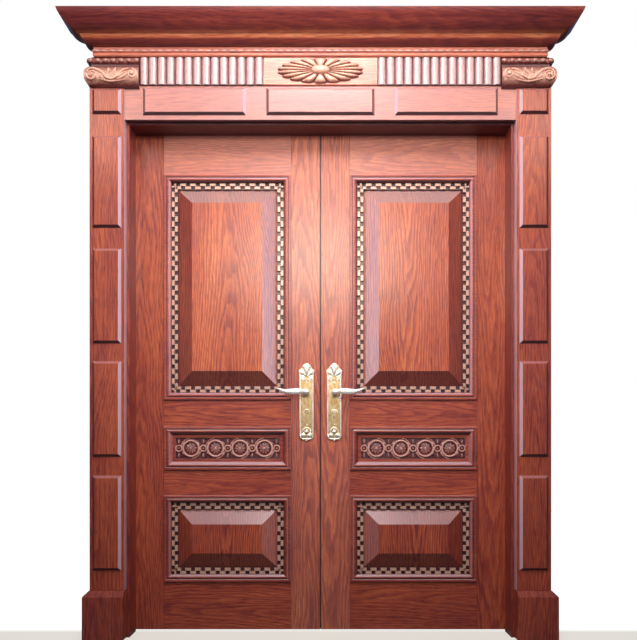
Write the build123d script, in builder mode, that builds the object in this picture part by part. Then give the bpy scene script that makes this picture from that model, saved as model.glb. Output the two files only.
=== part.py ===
"""Oak double door in its moulded surround: two panelled leaves, lining, pilasters, frieze and crown.

Millimetres. X runs along the wall, +X to the viewer's right, -Y is the front, +Z is up.
Depths are named q: the distance in front of the leaves' front face, negative behind it.
"""
from build123d import *
from math import cos, pi, sin
import os

os.makedirs("parts", exist_ok=True)

# Overall depth: the crown stands furthest forward and the back lever furthest back
crown_front_q = 287.0
back_lever_q = -121.0
leaf_face_y = (crown_front_q + back_lever_q) / 2
reach = 1500.0

# Leaves
leaf_thickness = 60.0
leaf_bottom_z = 8.0
leaf_top_z = 2090.0
leaf_outer_x = 785.0
meeting_front_x = 1.2
meeting_back_x = 2.2
meeting_stile_x = 124.0
hinge_stile_x = 657.0
back_q = -leaf_thickness
rail_heights = {
    "bottom_rail": (leaf_bottom_z, 208.0),
    "cross_rail": (569.5, 677.5),
    "lock_rail": (858.0, 971.5),
    "top_rail": (1915.0, leaf_top_z),
}
lower_opening = (208.0, 569.5)
carved_opening = (677.5, 858.0)
upper_opening = (971.5, 1915.0)
openings = (lower_opening, carved_opening, upper_opening)
tongue_front_q = -22.0
tongue_back_q = -38.0
groove_depth = 12.0
tongue_depth = 11.0
tenon_length = 25.0
tenon_half_thickness = 10.0
tenon_shoulder = 15.0
centre_q = back_q / 2

# Panels and their mouldings
moulding_width = 58.0
profile_width = 30.0
bevel_width = 62.0
bevel_foot = 1.0
field_q = 16.0
back_moulding_width = 28.0
back_bevel_width = 55.0
back_field_q = -58.0
dentil_floor_q = -15.0
dentil_top_q = -7.0
dentil_pitch = 42.0
dentil_length = 20.0
dentil_width = 12.0
dentil_gap = 1.5
carved_moulding_width = 34.0
carved_face_q = -8.0
carved_floor_q = -17.0
carving_half_length = 220.0
carving_half_height = 45.0
ring_spacing = 103.0
ring_radius = 37.0
ring_sides = 16

# Lining
reveal_x = 775.0
rebate_x = 788.0
jamb_outer_x = 815.0
jamb_front_q = 121.0
stop_q = 1.5
head_face_z = 2081.0
head_rebate_z = 2093.0
head_top_z = 2121.0

# Surround
casing_inner_x = 787.0
casing_outer_x = 927.0
casing_front_q = 159.0
plinth_outer_x = 950.0
plinth_front_q = 190.0
plinth_height = 197.0
plinth_bevel = 22.0
pilaster_top_z = 2227.0
block_inner_x = 800.0
block_outer_x = 915.0
block_thickness = 12.0
block_bevel = 10.0
pilaster_blocks = ((278, 658), (734, 1117), (1189, 1569), (1653, 2021), (2109, 2209))
head_casing_bottom_z = 2089.0
head_casing_front_q = 153.0
head_blocks = ((-713, -300), (-217, 217), (300, 713))
head_block_heights = (2107.0, 2216.0)
frieze_top_z = 2336.0
frieze_back_x = 885.0
frieze_board_q = 139.0
frieze_front_q = 163.0
frieze_board_top_z = 2456.0
reed_inner_x = 228.0
reed_outer_x = 726.0
reed_count = 14
reed_valley_q = 154.0
reed_relief = 11.0
reed_section = [(0.5 - 0.5 * cos(pi * step / 5), sin(pi * step / 5)) for step in range(6)]
bed_top_z = 2374.0
entablature_x = 909.0
entablature_q = 170.0
crown_top_z = 2478.0
crown_projection = 117.0
capital_plane_x = 911.0
capital_plane_q = 158.0
capital_foot_z = 2212.0
rear_casing_inner_x = 800.0
rear_casing_width = 100.0
rear_casing_thickness = 18.0
rear_casing_bevel = 6.0
casing_relief = 3.0
casing_bearing = 45.0
casing_overlap = 15.0
rear_bearing = 25.0

# Hinges
hinge_axis_x = 786.5
hinge_axis_q = -67.5
hinge_heights = (250.0, 1050.0, 1850.0)
hinge_half_height = 50.0
knuckle_radius = 7.0
knuckle_sides = 10
hinge_pin_radius = 4.0
hinge_running_gap = 0.08
hinge_pin_length = 40.0
knuckle_gap = 0.3
plate_thickness = 3.0
hinge_plate_front_q = -30.0

# Door furniture
furniture_x = 58.0
lever_z = 1004.0
plate_half_width = 30.0
plate_foot_z = 818.0
plate_shoulder_z = 1094.0
plate_top_z = 1126.0
cylinder_z = 920.0
cylinder_foot_z = 900.0
backplate_front_q = 7.5
backplate_field_q = 4.0
lever_neck_radius = 9.0
lever_hole_radius = 9.5
handle_outline = (
    (0, 12), (30, 14), (62, 14), (86, 11), (97, 7), (108, 10), (121, 15), (121, 7), (109, 0), (98, -6),
    (84, -11), (60, -13.5), (30, -14), (0, -12),
)
lever_blade_q = (46.0, 61.0)
spindle_side = 8.0
spindle_hole_radius = 8.0

# Lock and bolts
lock_face_x = 2.2
lock_plate_x = 5.2
lock_back_x = 95.0
lock_case_z = (880.0, 1080.0)
forend_z = (860.0, 1100.0)
forend_half_width = 10.0
case_half_thickness = 8.0
bolt_half_thickness = 6.0
bolt_slack = 0.4
latch_z = (1025.0, 1045.0)
latch_throw = 12.0
latch_tail_x = 40.0
dead_bolt_z = (937.0, 973.0)
dead_bolt_throw = 20.0
dead_bolt_tail_x = 44.0
strike_z = (915.0, 1065.0)
flush_plate_length = 230.0
flush_rod_x = 14.0
flush_rod_radius = 6.0
flush_throw = 20.0
flush_tab_length = 14.0
flush_tab_offset = 60.0
flush_rod_length = 190.0


def front_plane(q):
    """Plane facing the viewer at depth q: its x is the row's X and its y is the height."""
    return Plane.XZ.offset(q - leaf_face_y)


def profile_plane(x):
    """Upright plane across the wall, whose coordinates are (q, z)."""
    return Plane(origin=(x, leaf_face_y, 0), x_dir=(0, -1, 0), z_dir=(-1, 0, 0))


def plan_plane(z):
    """Level plane whose coordinates are (x, -q)."""
    return Plane(origin=(0, leaf_face_y, z))


def board(x_edges, q_edges, z_edges, mode=Mode.ADD):
    """A squared board between two values of X, of depth and of height."""
    x_low, x_high = sorted(x_edges)
    q_low, q_high = sorted(q_edges)
    z_low, z_high = sorted(z_edges)
    with Locations((x_low, leaf_face_y - q_high, z_low)):
        Box(x_high - x_low, q_high - q_low, z_high - z_low, align=(Align.MIN,) * 3, mode=mode)


def raised_block(x_edges, z_edges, base_q, thickness, bevel):
    """A board with four bevelled edges, standing out from a face at base_q, or back from it if negative."""
    with BuildPart() as block:
        board(x_edges, (base_q, base_q + thickness), z_edges)
        raised_face = block.faces().sort_by(Axis.Y)[0 if thickness > 0 else -1]
        chamfer(raised_face.edges(), bevel, abs(thickness) - bevel_foot, reference=raised_face)
    return block.part


def save(piece, node):
    """Name a finished piece and write it out as one node."""
    piece.part.label = node
    export_step(piece.part, f"parts/{node}.step")


def save_twin(piece, node):
    """Write the mirror image of a right-hand piece as a left-hand node."""
    with BuildPart() as twin:
        mirror(piece.part, about=Plane.YZ)
    save(twin, node)


def save_pair(piece, node):
    """Write a right-hand piece and its left-hand twin."""
    save(piece, f"right_{node}")
    save_twin(piece, f"left_{node}")


# Lining: two rebated jambs under a rebated head
with BuildPart() as jamb:
    with BuildSketch(plan_plane(0)):
        with BuildLine():
            Polyline(
                (reveal_x, -jamb_front_q),
                (jamb_outer_x, -jamb_front_q),
                (jamb_outer_x, -back_q),
                (rebate_x, -back_q),
                (rebate_x, -stop_q),
                (reveal_x, -stop_q),
                close=True,
            )
        make_face()
    extrude(amount=head_face_z)
    for hinge_z in hinge_heights:
        board(
            (rebate_x, rebate_x + plate_thickness),
            (back_q, hinge_plate_front_q),
            (hinge_z - hinge_half_height, hinge_z + hinge_half_height),
            Mode.SUBTRACT,
        )
save_pair(jamb, "jamb")

with BuildPart() as head_jamb:
    board((-jamb_outer_x, jamb_outer_x), (back_q, jamb_front_q), (head_face_z, head_top_z))
    board((-rebate_x, rebate_x), (back_q, stop_q), (head_face_z, head_rebate_z), Mode.SUBTRACT)
    with BuildSketch(plan_plane(head_rebate_z)):
        with Locations((-flush_rod_x, -centre_q)):
            Circle(flush_rod_radius + 1)
    extrude(amount=flush_throw - 1, mode=Mode.SUBTRACT)
save(head_jamb, "head_jamb")


# Pilasters, plinths and head casing
# The casings' backs are relieved, so that they bear on the wall and on the lining in two strips
pilaster_raised = [
    raised_block((block_inner_x, block_outer_x), heights, casing_front_q, block_thickness, block_bevel)
    for heights in pilaster_blocks
]
with BuildPart() as pilaster:
    board((casing_inner_x, casing_outer_x), (jamb_front_q, casing_front_q), (plinth_height, pilaster_top_z))
    add(pilaster_raised)
    board(
        (jamb_outer_x + casing_overlap, casing_outer_x - casing_bearing),
        (jamb_front_q, jamb_front_q + casing_relief),
        (plinth_height, pilaster_top_z),
        Mode.SUBTRACT,
    )
save_pair(pilaster, "pilaster")

with BuildPart() as plinth:
    board((casing_inner_x, plinth_outer_x), (jamb_front_q, plinth_front_q), (0, plinth_height))
    top_edges = plinth.edges().group_by(Axis.Z)[-1]
    front_edge = top_edges.sort_by(Axis.Y)[0]
    outer_edge = top_edges.sort_by(Axis.X)[-1]
    chamfer([front_edge, outer_edge], plinth_bevel)
save_pair(plinth, "plinth")

head_raised = [
    raised_block(edges, head_block_heights, head_casing_front_q, block_thickness, block_bevel)
    for edges in head_blocks
]
with BuildPart() as head_casing:
    board(
        (-casing_inner_x, casing_inner_x),
        (jamb_front_q, head_casing_front_q),
        (head_casing_bottom_z, pilaster_top_z),
    )
    add(head_raised)
save(head_casing, "head_casing")


# Frieze: a full-height board, thicker and reeded below the bed moulding
reed_pitch = (reed_outer_x - reed_inner_x) / reed_count
with BuildPart() as frieze:
    board(
        (-frieze_back_x, frieze_back_x),
        (jamb_front_q, frieze_board_q),
        (pilaster_top_z, frieze_board_top_z),
    )
    with BuildSketch(plan_plane(pilaster_top_z)):
        with BuildLine():
            for side in (-1, 1):
                for reed in range(reed_count):
                    start_x = reed_inner_x + reed * reed_pitch
                    Polyline(*[
                        (side * (start_x + share * reed_pitch), -reed_valley_q - swell * reed_relief)
                        for share, swell in reed_section
                    ])
                Polyline(
                    (side * reed_outer_x, -reed_valley_q),
                    (side * reed_outer_x, -frieze_board_q),
                    (0, -frieze_board_q),
                )
                Polyline(
                    (side * reed_inner_x, -reed_valley_q),
                    (side * reed_inner_x, -frieze_front_q),
                    (0, -frieze_front_q),
                )
        make_face()
    extrude(amount=frieze_top_z - pilaster_top_z)
save(frieze, "frieze")


def bed_face(place):
    """Face line of the bed moulding, upwards: a swelling band, a bead for the row of dashes and a fascia."""
    ThreePointArc(place(-2, frieze_top_z), place(2.5, 2344), place(-1, 2352))
    ThreePointArc(place(-1, 2352), place(4, 2358), place(-1, 2364))
    Polyline(place(-1, 2364), place(0, 2366), place(0, bed_top_z))


def crown_face(place):
    """Face line of the crown, upwards: a lower ovolo, a wide ovolo above it and a swelling top edge."""
    ThreePointArc(place(0, bed_top_z), place(27, 2383), place(42, 2405))
    Line(place(42, 2405), place(44, 2408))
    ThreePointArc(place(44, 2408), place(74, 2421.5), place(95, 2443))
    Line(place(95, 2443), place(98, 2446))
    ThreePointArc(place(98, 2446), place(109, 2459), place(crown_projection, crown_top_z))


def capital_face(place):
    """Face line of a capital, upwards: the swelling carved band, a fillet and an astragal."""
    ThreePointArc(place(0, capital_foot_z), place(33, 2258), place(8, 2298))
    Line(place(8, 2298), place(9, 2305))
    ThreePointArc(place(9, 2305), place(19, 2318), place(9, 2331))
    Line(place(9, 2331), place(4, frieze_top_z))


def returned_moulding(face_line, foot, top, foot_step, top_step, plane_q, plane_x):
    """A run of moulding that returns round both ends: the front run cut to the outline of its side runs.

    The steps are the face line's projections at its foot and its top.
    """
    with BuildSketch(profile_plane(0)) as front_run:
        with BuildLine():
            face_line(lambda projection, z: (plane_q + projection, z))
            Polyline(
                (plane_q + top_step, top),
                (jamb_front_q, top),
                (jamb_front_q, foot),
                (plane_q + foot_step, foot),
            )
        make_face()
    extrude(front_run.sketch, amount=reach, both=True)
    with BuildSketch(Plane.XZ) as side_runs:
        with BuildLine():
            face_line(lambda projection, z: (plane_x + projection, z))
            face_line(lambda projection, z: (-plane_x - projection, z))
            Line((-plane_x - top_step, top), (plane_x + top_step, top))
            Line((-plane_x - foot_step, foot), (plane_x + foot_step, foot))
        make_face()
    extrude(side_runs.sketch, amount=reach, both=True, mode=Mode.INTERSECT)


# Bed moulding and crown are planted on the face and ends of the frieze board
with BuildPart() as bed_moulding:
    returned_moulding(bed_face, frieze_top_z, bed_top_z, -2, 0, entablature_q, entablature_x)
    board(
        (-frieze_back_x, frieze_back_x),
        (jamb_front_q, frieze_board_q),
        (frieze_top_z, bed_top_z),
        Mode.SUBTRACT,
    )
save(bed_moulding, "bed_moulding")

# The crown is hollow behind its moulded face and closed above by its top board
hollow_outline = ((-31, 2392), (6, 2392), (62, 2434), (74, frieze_board_top_z), (-31, frieze_board_top_z))
with BuildPart() as crown_hollow:
    with BuildSketch(profile_plane(0)):
        with BuildLine():
            Polyline(*[(entablature_q + step, z) for step, z in hollow_outline], close=True)
        make_face()
    extrude(amount=reach, both=True)
    with BuildSketch(Plane.XZ):
        with BuildLine():
            right_side = [(entablature_x + step, z) for step, z in hollow_outline[1:4]]
            left_side = [(-entablature_x - step, z) for step, z in reversed(hollow_outline[1:4])]
            Polyline(*right_side, *left_side, close=True)
        make_face()
    extrude(amount=reach, both=True, mode=Mode.INTERSECT)

with BuildPart() as cornice:
    returned_moulding(crown_face, bed_top_z, crown_top_z, 0, crown_projection, entablature_q, entablature_x)
    board(
        (-frieze_back_x, frieze_back_x),
        (jamb_front_q, frieze_board_q),
        (bed_top_z, frieze_board_top_z),
        Mode.SUBTRACT,
    )
    add(crown_hollow.part, mode=Mode.SUBTRACT)
save(cornice, "cornice")


# Capitals: a swelling band with two volutes and an S-shaped leaf, standing out over the pilaster's head
volutes = ((752, 2262, 17), (903, 2258, 21))
volute_sides = 10
with BuildPart() as capital:
    with BuildSketch(profile_plane(reed_outer_x)):
        with BuildLine():
            capital_face(lambda projection, z: (capital_plane_q + projection, z))
            Polyline(
                (capital_plane_q + 4, frieze_top_z),
                (jamb_front_q, frieze_top_z),
                (jamb_front_q, capital_foot_z),
                (capital_plane_q, capital_foot_z),
            )
        make_face()
    extrude(amount=-reach)
    with BuildSketch(Plane.XZ):
        with BuildLine():
            capital_face(lambda projection, z: (capital_plane_x + projection, z))
            Polyline(
                (capital_plane_x + 4, frieze_top_z),
                (reed_outer_x, frieze_top_z),
                (reed_outer_x, capital_foot_z),
                (capital_plane_x, capital_foot_z),
            )
        make_face()
    extrude(amount=reach, both=True, mode=Mode.INTERSECT)
    board((reed_outer_x, casing_outer_x), (jamb_front_q, casing_front_q), (capital_foot_z, pilaster_top_z),
          Mode.SUBTRACT)
    board((reed_outer_x, frieze_back_x), (jamb_front_q, frieze_board_q), (capital_foot_z, frieze_top_z),
          Mode.SUBTRACT)
    with BuildSketch(front_plane(capital_plane_q + 20)):
        for volute_x, volute_z, volute_radius in volutes:
            with Locations((volute_x, volute_z)):
                RegularPolygon(volute_radius, volute_sides)
                RegularPolygon(volute_radius - 7, volute_sides, mode=Mode.SUBTRACT)
                RegularPolygon(5, 6)
    extrude(amount=16)
    with BuildSketch(front_plane(capital_plane_q + 20)):
        with BuildLine():
            first_sweep = ThreePointArc((764, 2278), (803, 2280), (830, 2259))
            ThreePointArc(first_sweep @ 1, (852, 2244), (884, 2241))
        trace(line_width=13)
    extrude(amount=15)
save_pair(capital, "capital")


# Rosette: an oval boss with eighteen ridged petals on a scalloped ground
rosette_z = 2281.0
rosette_half_width = 173.0
rosette_half_height = 50.0
petal_count = 18
boss_half_width = 35.0
boss_half_height = 18.0
boss_sides = 12
boss_height = 30.0


def oval_point(half_width, half_height, angle):
    """Point of an oval centred on the rosette."""
    return (half_width * cos(angle), rosette_z + half_height * sin(angle))


petal_ridge = 15.0
with BuildPart() as rosette:
    for petal in range(petal_count):
        angle = 2 * pi * (petal + 0.5) / petal_count
        tip = Vector(*oval_point(rosette_half_width, rosette_half_height, angle))
        root = Vector(*oval_point(boss_half_width * 0.6, boss_half_height * 0.6, angle))
        run = tip - root
        spread = 10 + 3 * abs(cos(angle))
        petal_plane = Plane(
            origin=(root.X, leaf_face_y - frieze_front_q, root.Y),
            x_dir=(-run.Y, 0, run.X),
            z_dir=(run.X, 0, run.Y),
        )
        with BuildSketch(petal_plane):
            with BuildLine():
                Polyline(
                    (-spread, 0),
                    (-0.6 * spread, 0.7 * petal_ridge),
                    (0, petal_ridge),
                    (0.6 * spread, 0.7 * petal_ridge),
                    (spread, 0),
                    close=True,
                )
            make_face()
        extrude(amount=run.length)
    with BuildSketch(front_plane(frieze_front_q)):
        with BuildLine():
            boss_outline = [
                oval_point(boss_half_width, boss_half_height, 2 * pi * side / boss_sides)
                for side in range(boss_sides)
            ]
            Polyline(*boss_outline, close=True)
        make_face()
    extrude(amount=boss_height)
    chamfer(rosette.faces().sort_by(Axis.Y)[0].edges(), 8)
    with BuildSketch(front_plane(frieze_front_q)):
        with BuildLine():
            boss_outline = [
                oval_point(boss_half_width, boss_half_height, 2 * pi * side / boss_sides)
                for side in range(boss_sides)
            ]
            Polyline(*boss_outline, close=True)
        make_face()
    extrude(amount=boss_height)
    chamfer(rosette.faces().sort_by(Axis.Y)[0].edges(), 8)
save(rosette, "rosette")


# Rear casings, mitred at the top corners
rear_outer_x = rear_casing_inner_x + rear_casing_width
rear_head_z = head_rebate_z + rear_casing_inner_x - rebate_x
rear_top_z = rear_head_z + rear_casing_width
with BuildPart() as rear_casing:
    with BuildSketch(front_plane(back_q)):
        with BuildLine():
            Polyline(
                (rear_casing_inner_x, 0),
                (rear_outer_x, 0),
                (rear_outer_x, rear_top_z),
                (rear_casing_inner_x, rear_head_z),
                close=True,
            )
        make_face()
    extrude(amount=-rear_casing_thickness)
    back_face = rear_casing.faces().sort_by(Axis.Y)[-1]
    chamfer(back_face.edges().filter_by(Axis.Z), rear_casing_bevel)
    board(
        (jamb_outer_x + casing_overlap, rear_outer_x - rear_bearing),
        (back_q, back_q - casing_relief),
        (0, rear_top_z),
        Mode.SUBTRACT,
    )
save_pair(rear_casing, "rear_casing")

with BuildPart() as head_rear_casing:
    with BuildSketch(front_plane(back_q)):
        with BuildLine():
            Polyline(
                (-rear_casing_inner_x, rear_head_z),
                (rear_casing_inner_x, rear_head_z),
                (rear_outer_x, rear_top_z),
                (-rear_outer_x, rear_top_z),
                close=True,
            )
        make_face()
    extrude(amount=-rear_casing_thickness)
    back_face = head_rear_casing.faces().sort_by(Axis.Y)[-1]
    chamfer(back_face.edges().filter_by(Axis.X), rear_casing_bevel)
save(head_rear_casing, "head_rear_casing")


def panel_grooves(x_edges, heights, mode=Mode.SUBTRACT):
    """Groove for a panel's tongue round one opening of a leaf, deeper than the opening on every side."""
    board(
        (x_edges[0] - groove_depth, x_edges[1] + groove_depth),
        (tongue_back_q, tongue_front_q),
        (heights[0] - groove_depth, heights[1] + groove_depth),
        mode,
    )


def rail_tenons(heights, mode=Mode.ADD):
    """Stub tenons at both ends of a rail."""
    tenon_heights = (heights[0] + tenon_shoulder, heights[1] - tenon_shoulder)
    tenon_depths = (centre_q - tenon_half_thickness, centre_q + tenon_half_thickness)
    board((meeting_stile_x - tenon_length, meeting_stile_x), tenon_depths, tenon_heights, mode)
    board((hinge_stile_x, hinge_stile_x + tenon_length), tenon_depths, tenon_heights, mode)


def stile_joinery():
    """Cut a stile's panel grooves and its mortises for the rails' tenons."""
    for opening in openings:
        panel_grooves((meeting_stile_x, hinge_stile_x), opening)
    for rail in rail_heights.values():
        rail_tenons(rail, Mode.SUBTRACT)


# Leaves: rails and hinge stiles are alike on both sides
for rail_name, rail in rail_heights.items():
    with BuildPart() as rail_board:
        board((meeting_stile_x, hinge_stile_x), (back_q, 0), rail)
        rail_tenons(rail)
        for opening in openings:
            panel_grooves((meeting_stile_x, hinge_stile_x), opening)
    save_pair(rail_board, rail_name)

with BuildPart() as hinge_stile:
    board((hinge_stile_x, leaf_outer_x), (back_q, 0), (leaf_bottom_z, leaf_top_z))
    stile_joinery()
    for hinge_z in hinge_heights:
        board(
            (leaf_outer_x - plate_thickness, leaf_outer_x),
            (back_q, hinge_plate_front_q),
            (hinge_z - hinge_half_height, hinge_z + hinge_half_height),
            Mode.SUBTRACT,
        )
save_pair(hinge_stile, "hinge_stile")


def cylinder_outline():
    """Keyhole shape of a profile cylinder: a round barrel over a narrower round-ended foot."""
    with Locations((furniture_x, cylinder_z)):
        Circle(8.5)
    with Locations((furniture_x, (cylinder_z + cylinder_foot_z) / 2)):
        Rectangle(10, cylinder_z - cylinder_foot_z)
    with Locations((furniture_x, cylinder_foot_z)):
        Circle(5)


def meeting_stile_blank():
    """Meeting stile, bevelled back so that its front corner clears the other leaf, with its joinery."""
    with BuildSketch(plan_plane(leaf_bottom_z)) as outline:
        with BuildLine():
            Polyline(
                (meeting_front_x, 0),
                (meeting_stile_x, 0),
                (meeting_stile_x, leaf_thickness),
                (meeting_back_x, leaf_thickness),
                close=True,
            )
        make_face()
    extrude(outline.sketch, amount=leaf_top_z - leaf_bottom_z)
    stile_joinery()
    with BuildSketch(front_plane(back_q)) as spindle_hole:
        with Locations((furniture_x, lever_z)):
            Circle(spindle_hole_radius)
    extrude(spindle_hole.sketch, amount=leaf_thickness, mode=Mode.SUBTRACT)


# Right meeting stile: mortised for the lock case and its forend, and bored for the cylinder
forend_depths = (centre_q - forend_half_width, centre_q + forend_half_width)
case_depths = (centre_q - case_half_thickness, centre_q + case_half_thickness)
with BuildPart() as right_meeting_stile:
    meeting_stile_blank()
    board((0, lock_plate_x), forend_depths, forend_z, Mode.SUBTRACT)
    board((0, lock_back_x), case_depths, lock_case_z, Mode.SUBTRACT)
    with BuildSketch(front_plane(back_q)):
        cylinder_outline()
    extrude(amount=leaf_thickness, mode=Mode.SUBTRACT)
save(right_meeting_stile, "right_meeting_stile")

slack_depths = (
    centre_q - bolt_half_thickness - bolt_slack,
    centre_q + bolt_half_thickness + bolt_slack,
)


def bolt_channel(heights, tail_x):
    """Channel through the forend and into the lock case for one bolt and its travel."""
    board((0, tail_x), slack_depths, (heights[0] - bolt_slack, heights[1] + bolt_slack), Mode.SUBTRACT)


with BuildPart() as lock_case:
    board((lock_face_x, lock_plate_x), forend_depths, forend_z)
    board((lock_plate_x, lock_back_x), case_depths, lock_case_z)
    bolt_channel(latch_z, latch_tail_x + latch_throw + 1)
    bolt_channel(dead_bolt_z, dead_bolt_tail_x + 1)
    with BuildSketch(front_plane(back_q)):
        with Locations((furniture_x, lever_z)):
            Circle(spindle_hole_radius)
        cylinder_outline()
    extrude(amount=leaf_thickness, mode=Mode.SUBTRACT)
save(lock_case, "lock_case")

# Latch bolt: its nose is bevelled on the side that meets the other leaf as the door shuts
bolt_depths = (centre_q - bolt_half_thickness, centre_q + bolt_half_thickness)
latch_nose_x = lock_face_x - latch_throw
with BuildPart() as latch_bolt:
    with BuildSketch(plan_plane(latch_z[0])):
        with BuildLine():
            Polyline(
                (latch_nose_x, -bolt_depths[0]),
                (latch_nose_x, -bolt_depths[0] - 3),
                (lock_face_x, -bolt_depths[1]),
                (latch_tail_x, -bolt_depths[1]),
                (latch_tail_x, -bolt_depths[0]),
                close=True,
            )
        make_face()
    extrude(amount=latch_z[1] - latch_z[0])
save(latch_bolt, "latch_bolt")

with BuildPart() as dead_bolt:
    board((lock_face_x + 0.2, dead_bolt_tail_x), bolt_depths, dead_bolt_z)
save(dead_bolt, "dead_bolt")

with BuildPart() as lock_cylinder:
    with BuildSketch(front_plane(back_q - backplate_front_q - 2)):
        cylinder_outline()
    extrude(amount=leaf_thickness + 2 * backplate_front_q + 4)
    for keyway_face in (backplate_front_q + 2, back_q - backplate_front_q - 2):
        board((furniture_x - 0.8, furniture_x + 0.8), (keyway_face - 2, keyway_face + 2),
              (cylinder_z - 5, cylinder_z + 4), Mode.SUBTRACT)
save(lock_cylinder, "lock_cylinder")


# Left meeting stile, built on the right and mirrored: strike pockets and flush-bolt bores
pocket_depth_x = dead_bolt_throw + 4
flush_plate_heights = (
    (leaf_bottom_z, leaf_bottom_z + flush_plate_length),
    (leaf_top_z - flush_plate_length, leaf_top_z),
)
flush_rest_gap = 2.0
bottom_rod_z = leaf_bottom_z + flush_rest_gap
top_rod_z = leaf_top_z - flush_rest_gap - flush_rod_length


def strike_pockets(depth_x):
    """Pockets behind the strike plate for the latch and the dead bolt."""
    for heights in (latch_z, dead_bolt_z):
        board(
            (0, depth_x),
            (bolt_depths[0] - 1.5, bolt_depths[1] + 1.5),
            (heights[0] - 1.5, heights[1] + 1.5),
            Mode.SUBTRACT,
        )


def tab_slot(rod_z, travel_up, mode=Mode.SUBTRACT):
    """Slot that a flush bolt's thumb tab slides in."""
    tab_z = rod_z + (flush_rod_length - flush_tab_offset if travel_up < 0 else flush_tab_offset)
    low = min(tab_z, tab_z + travel_up) - flush_tab_length / 2 - 1
    high = max(tab_z, tab_z + travel_up) + flush_tab_length / 2 + 1
    board((0, flush_rod_x), (centre_q - 4, centre_q + 4), (low, high), mode)


with BuildPart() as left_meeting_stile:
    meeting_stile_blank()
    board((0, lock_plate_x), forend_depths, strike_z, Mode.SUBTRACT)
    strike_pockets(pocket_depth_x)
    for plate_heights in flush_plate_heights:
        board((0, lock_plate_x), forend_depths, plate_heights, Mode.SUBTRACT)
    for bore_foot in (leaf_bottom_z, leaf_top_z - flush_rod_length - flush_rest_gap - 1):
        with BuildSketch(plan_plane(bore_foot)):
            with Locations((flush_rod_x, -centre_q)):
                Circle(flush_rod_radius + bolt_slack)
        extrude(amount=flush_rod_length + flush_rest_gap + 1, mode=Mode.SUBTRACT)
    tab_slot(bottom_rod_z, -flush_throw)
    tab_slot(top_rod_z, flush_throw)
save_twin(left_meeting_stile, "left_meeting_stile")

with BuildPart() as strike_plate:
    board((lock_face_x, lock_plate_x), forend_depths, strike_z)
    strike_pockets(pocket_depth_x)
save_twin(strike_plate, "strike_plate")

with BuildPart() as flush_bolt_plates:
    for plate_heights in flush_plate_heights:
        board((lock_face_x, lock_plate_x), forend_depths, plate_heights)
    tab_slot(bottom_rod_z, -flush_throw)
    tab_slot(top_rod_z, flush_throw)
save_twin(flush_bolt_plates, "flush_bolt_plates")

for bolt_name, rod_z, travel_up in (
    ("top_flush_bolt", top_rod_z, flush_throw),
    ("bottom_flush_bolt", bottom_rod_z, -flush_throw),
):
    tab_z = rod_z + (flush_rod_length - flush_tab_offset if travel_up < 0 else flush_tab_offset)
    with BuildPart() as flush_bolt:
        with BuildSketch(plan_plane(rod_z)):
            with Locations((flush_rod_x, -centre_q)):
                Circle(flush_rod_radius)
        extrude(amount=flush_rod_length)
        board(
            (lock_face_x + 0.5, flush_rod_x),
            (centre_q - 3, centre_q + 3),
            (tab_z - flush_tab_length / 2, tab_z + flush_tab_length / 2),
        )
    save_twin(flush_bolt, bolt_name)


# Raised panels: a tongue held in the grooves, a bevelled field in front and a lower one behind
def panel_field(heights, margin, base_q, face_q, bevel):
    """The bevelled field of one panel, in front or behind, set in from its opening by the margin."""
    return raised_block(
        (meeting_stile_x + margin, hinge_stile_x - margin),
        (heights[0] + margin, heights[1] - margin),
        base_q,
        face_q - base_q,
        bevel,
    )


def panel_tongue(heights):
    """The flat of a panel, whose edges sit in the grooves."""
    board(
        (meeting_stile_x - tongue_depth, hinge_stile_x + tongue_depth),
        (tongue_back_q, tongue_front_q),
        (heights[0] - tongue_depth, heights[1] + tongue_depth),
    )


for panel_name, opening in (("upper_panel", upper_opening), ("lower_panel", lower_opening)):
    front_field = panel_field(opening, moulding_width, tongue_front_q, field_q, bevel_width)
    back_field = panel_field(opening, back_moulding_width, tongue_back_q, back_field_q, back_bevel_width)
    with BuildPart() as panel:
        panel_tongue(opening)
        add([front_field, back_field])
    save_pair(panel, panel_name)

# Carved panel: a sunk field with four large rings and five small ones in a row
carving_x = (meeting_stile_x + hinge_stile_x) / 2
carving_z = sum(carved_opening) / 2
carved_back = panel_field(carved_opening, back_moulding_width, tongue_back_q, back_field_q, back_bevel_width)
with BuildPart() as carved_panel:
    panel_tongue(carved_opening)
    board((meeting_stile_x, hinge_stile_x), (tongue_front_q, carved_face_q), carved_opening)
    add(carved_back)
    board(
        (carving_x - carving_half_length, carving_x + carving_half_length),
        (carved_floor_q, 0),
        (carving_z - carving_half_height, carving_z + carving_half_height),
        Mode.SUBTRACT,
    )
    with BuildSketch(front_plane(carved_floor_q)):
        with Locations((carving_x, carving_z)):
            with GridLocations(ring_spacing, 0, 4, 1):
                RegularPolygon(ring_radius, ring_sides)
                RegularPolygon(ring_radius - 8, ring_sides, mode=Mode.SUBTRACT)
                RegularPolygon(12, 8)
            with GridLocations(ring_spacing, 0, 5, 1):
                RegularPolygon(13, 8)
    extrude(amount=carved_face_q - carved_floor_q + 2)
save_pair(carved_panel, "carved_panel")


def swept_frame(heights, outline_points):
    """A moulding mitred round one opening; outline_points draws its section in (inset, q)."""
    middle_z = sum(heights) / 2
    with BuildLine() as opening_edge:
        Polyline(
            (meeting_stile_x, leaf_face_y, middle_z),
            (meeting_stile_x, leaf_face_y, heights[1]),
            (hinge_stile_x, leaf_face_y, heights[1]),
            (hinge_stile_x, leaf_face_y, heights[0]),
            (meeting_stile_x, leaf_face_y, heights[0]),
            close=True,
        )
    section_plane = Plane(origin=(meeting_stile_x, leaf_face_y, middle_z), x_dir=(1, 0, 0), z_dir=(0, 0, 1))
    with BuildSketch(section_plane) as section:
        with BuildLine():
            outline_points()
        make_face()
    sweep(sections=section.sketch, path=opening_edge.wires()[0], transition=Transition.RIGHT)


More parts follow.
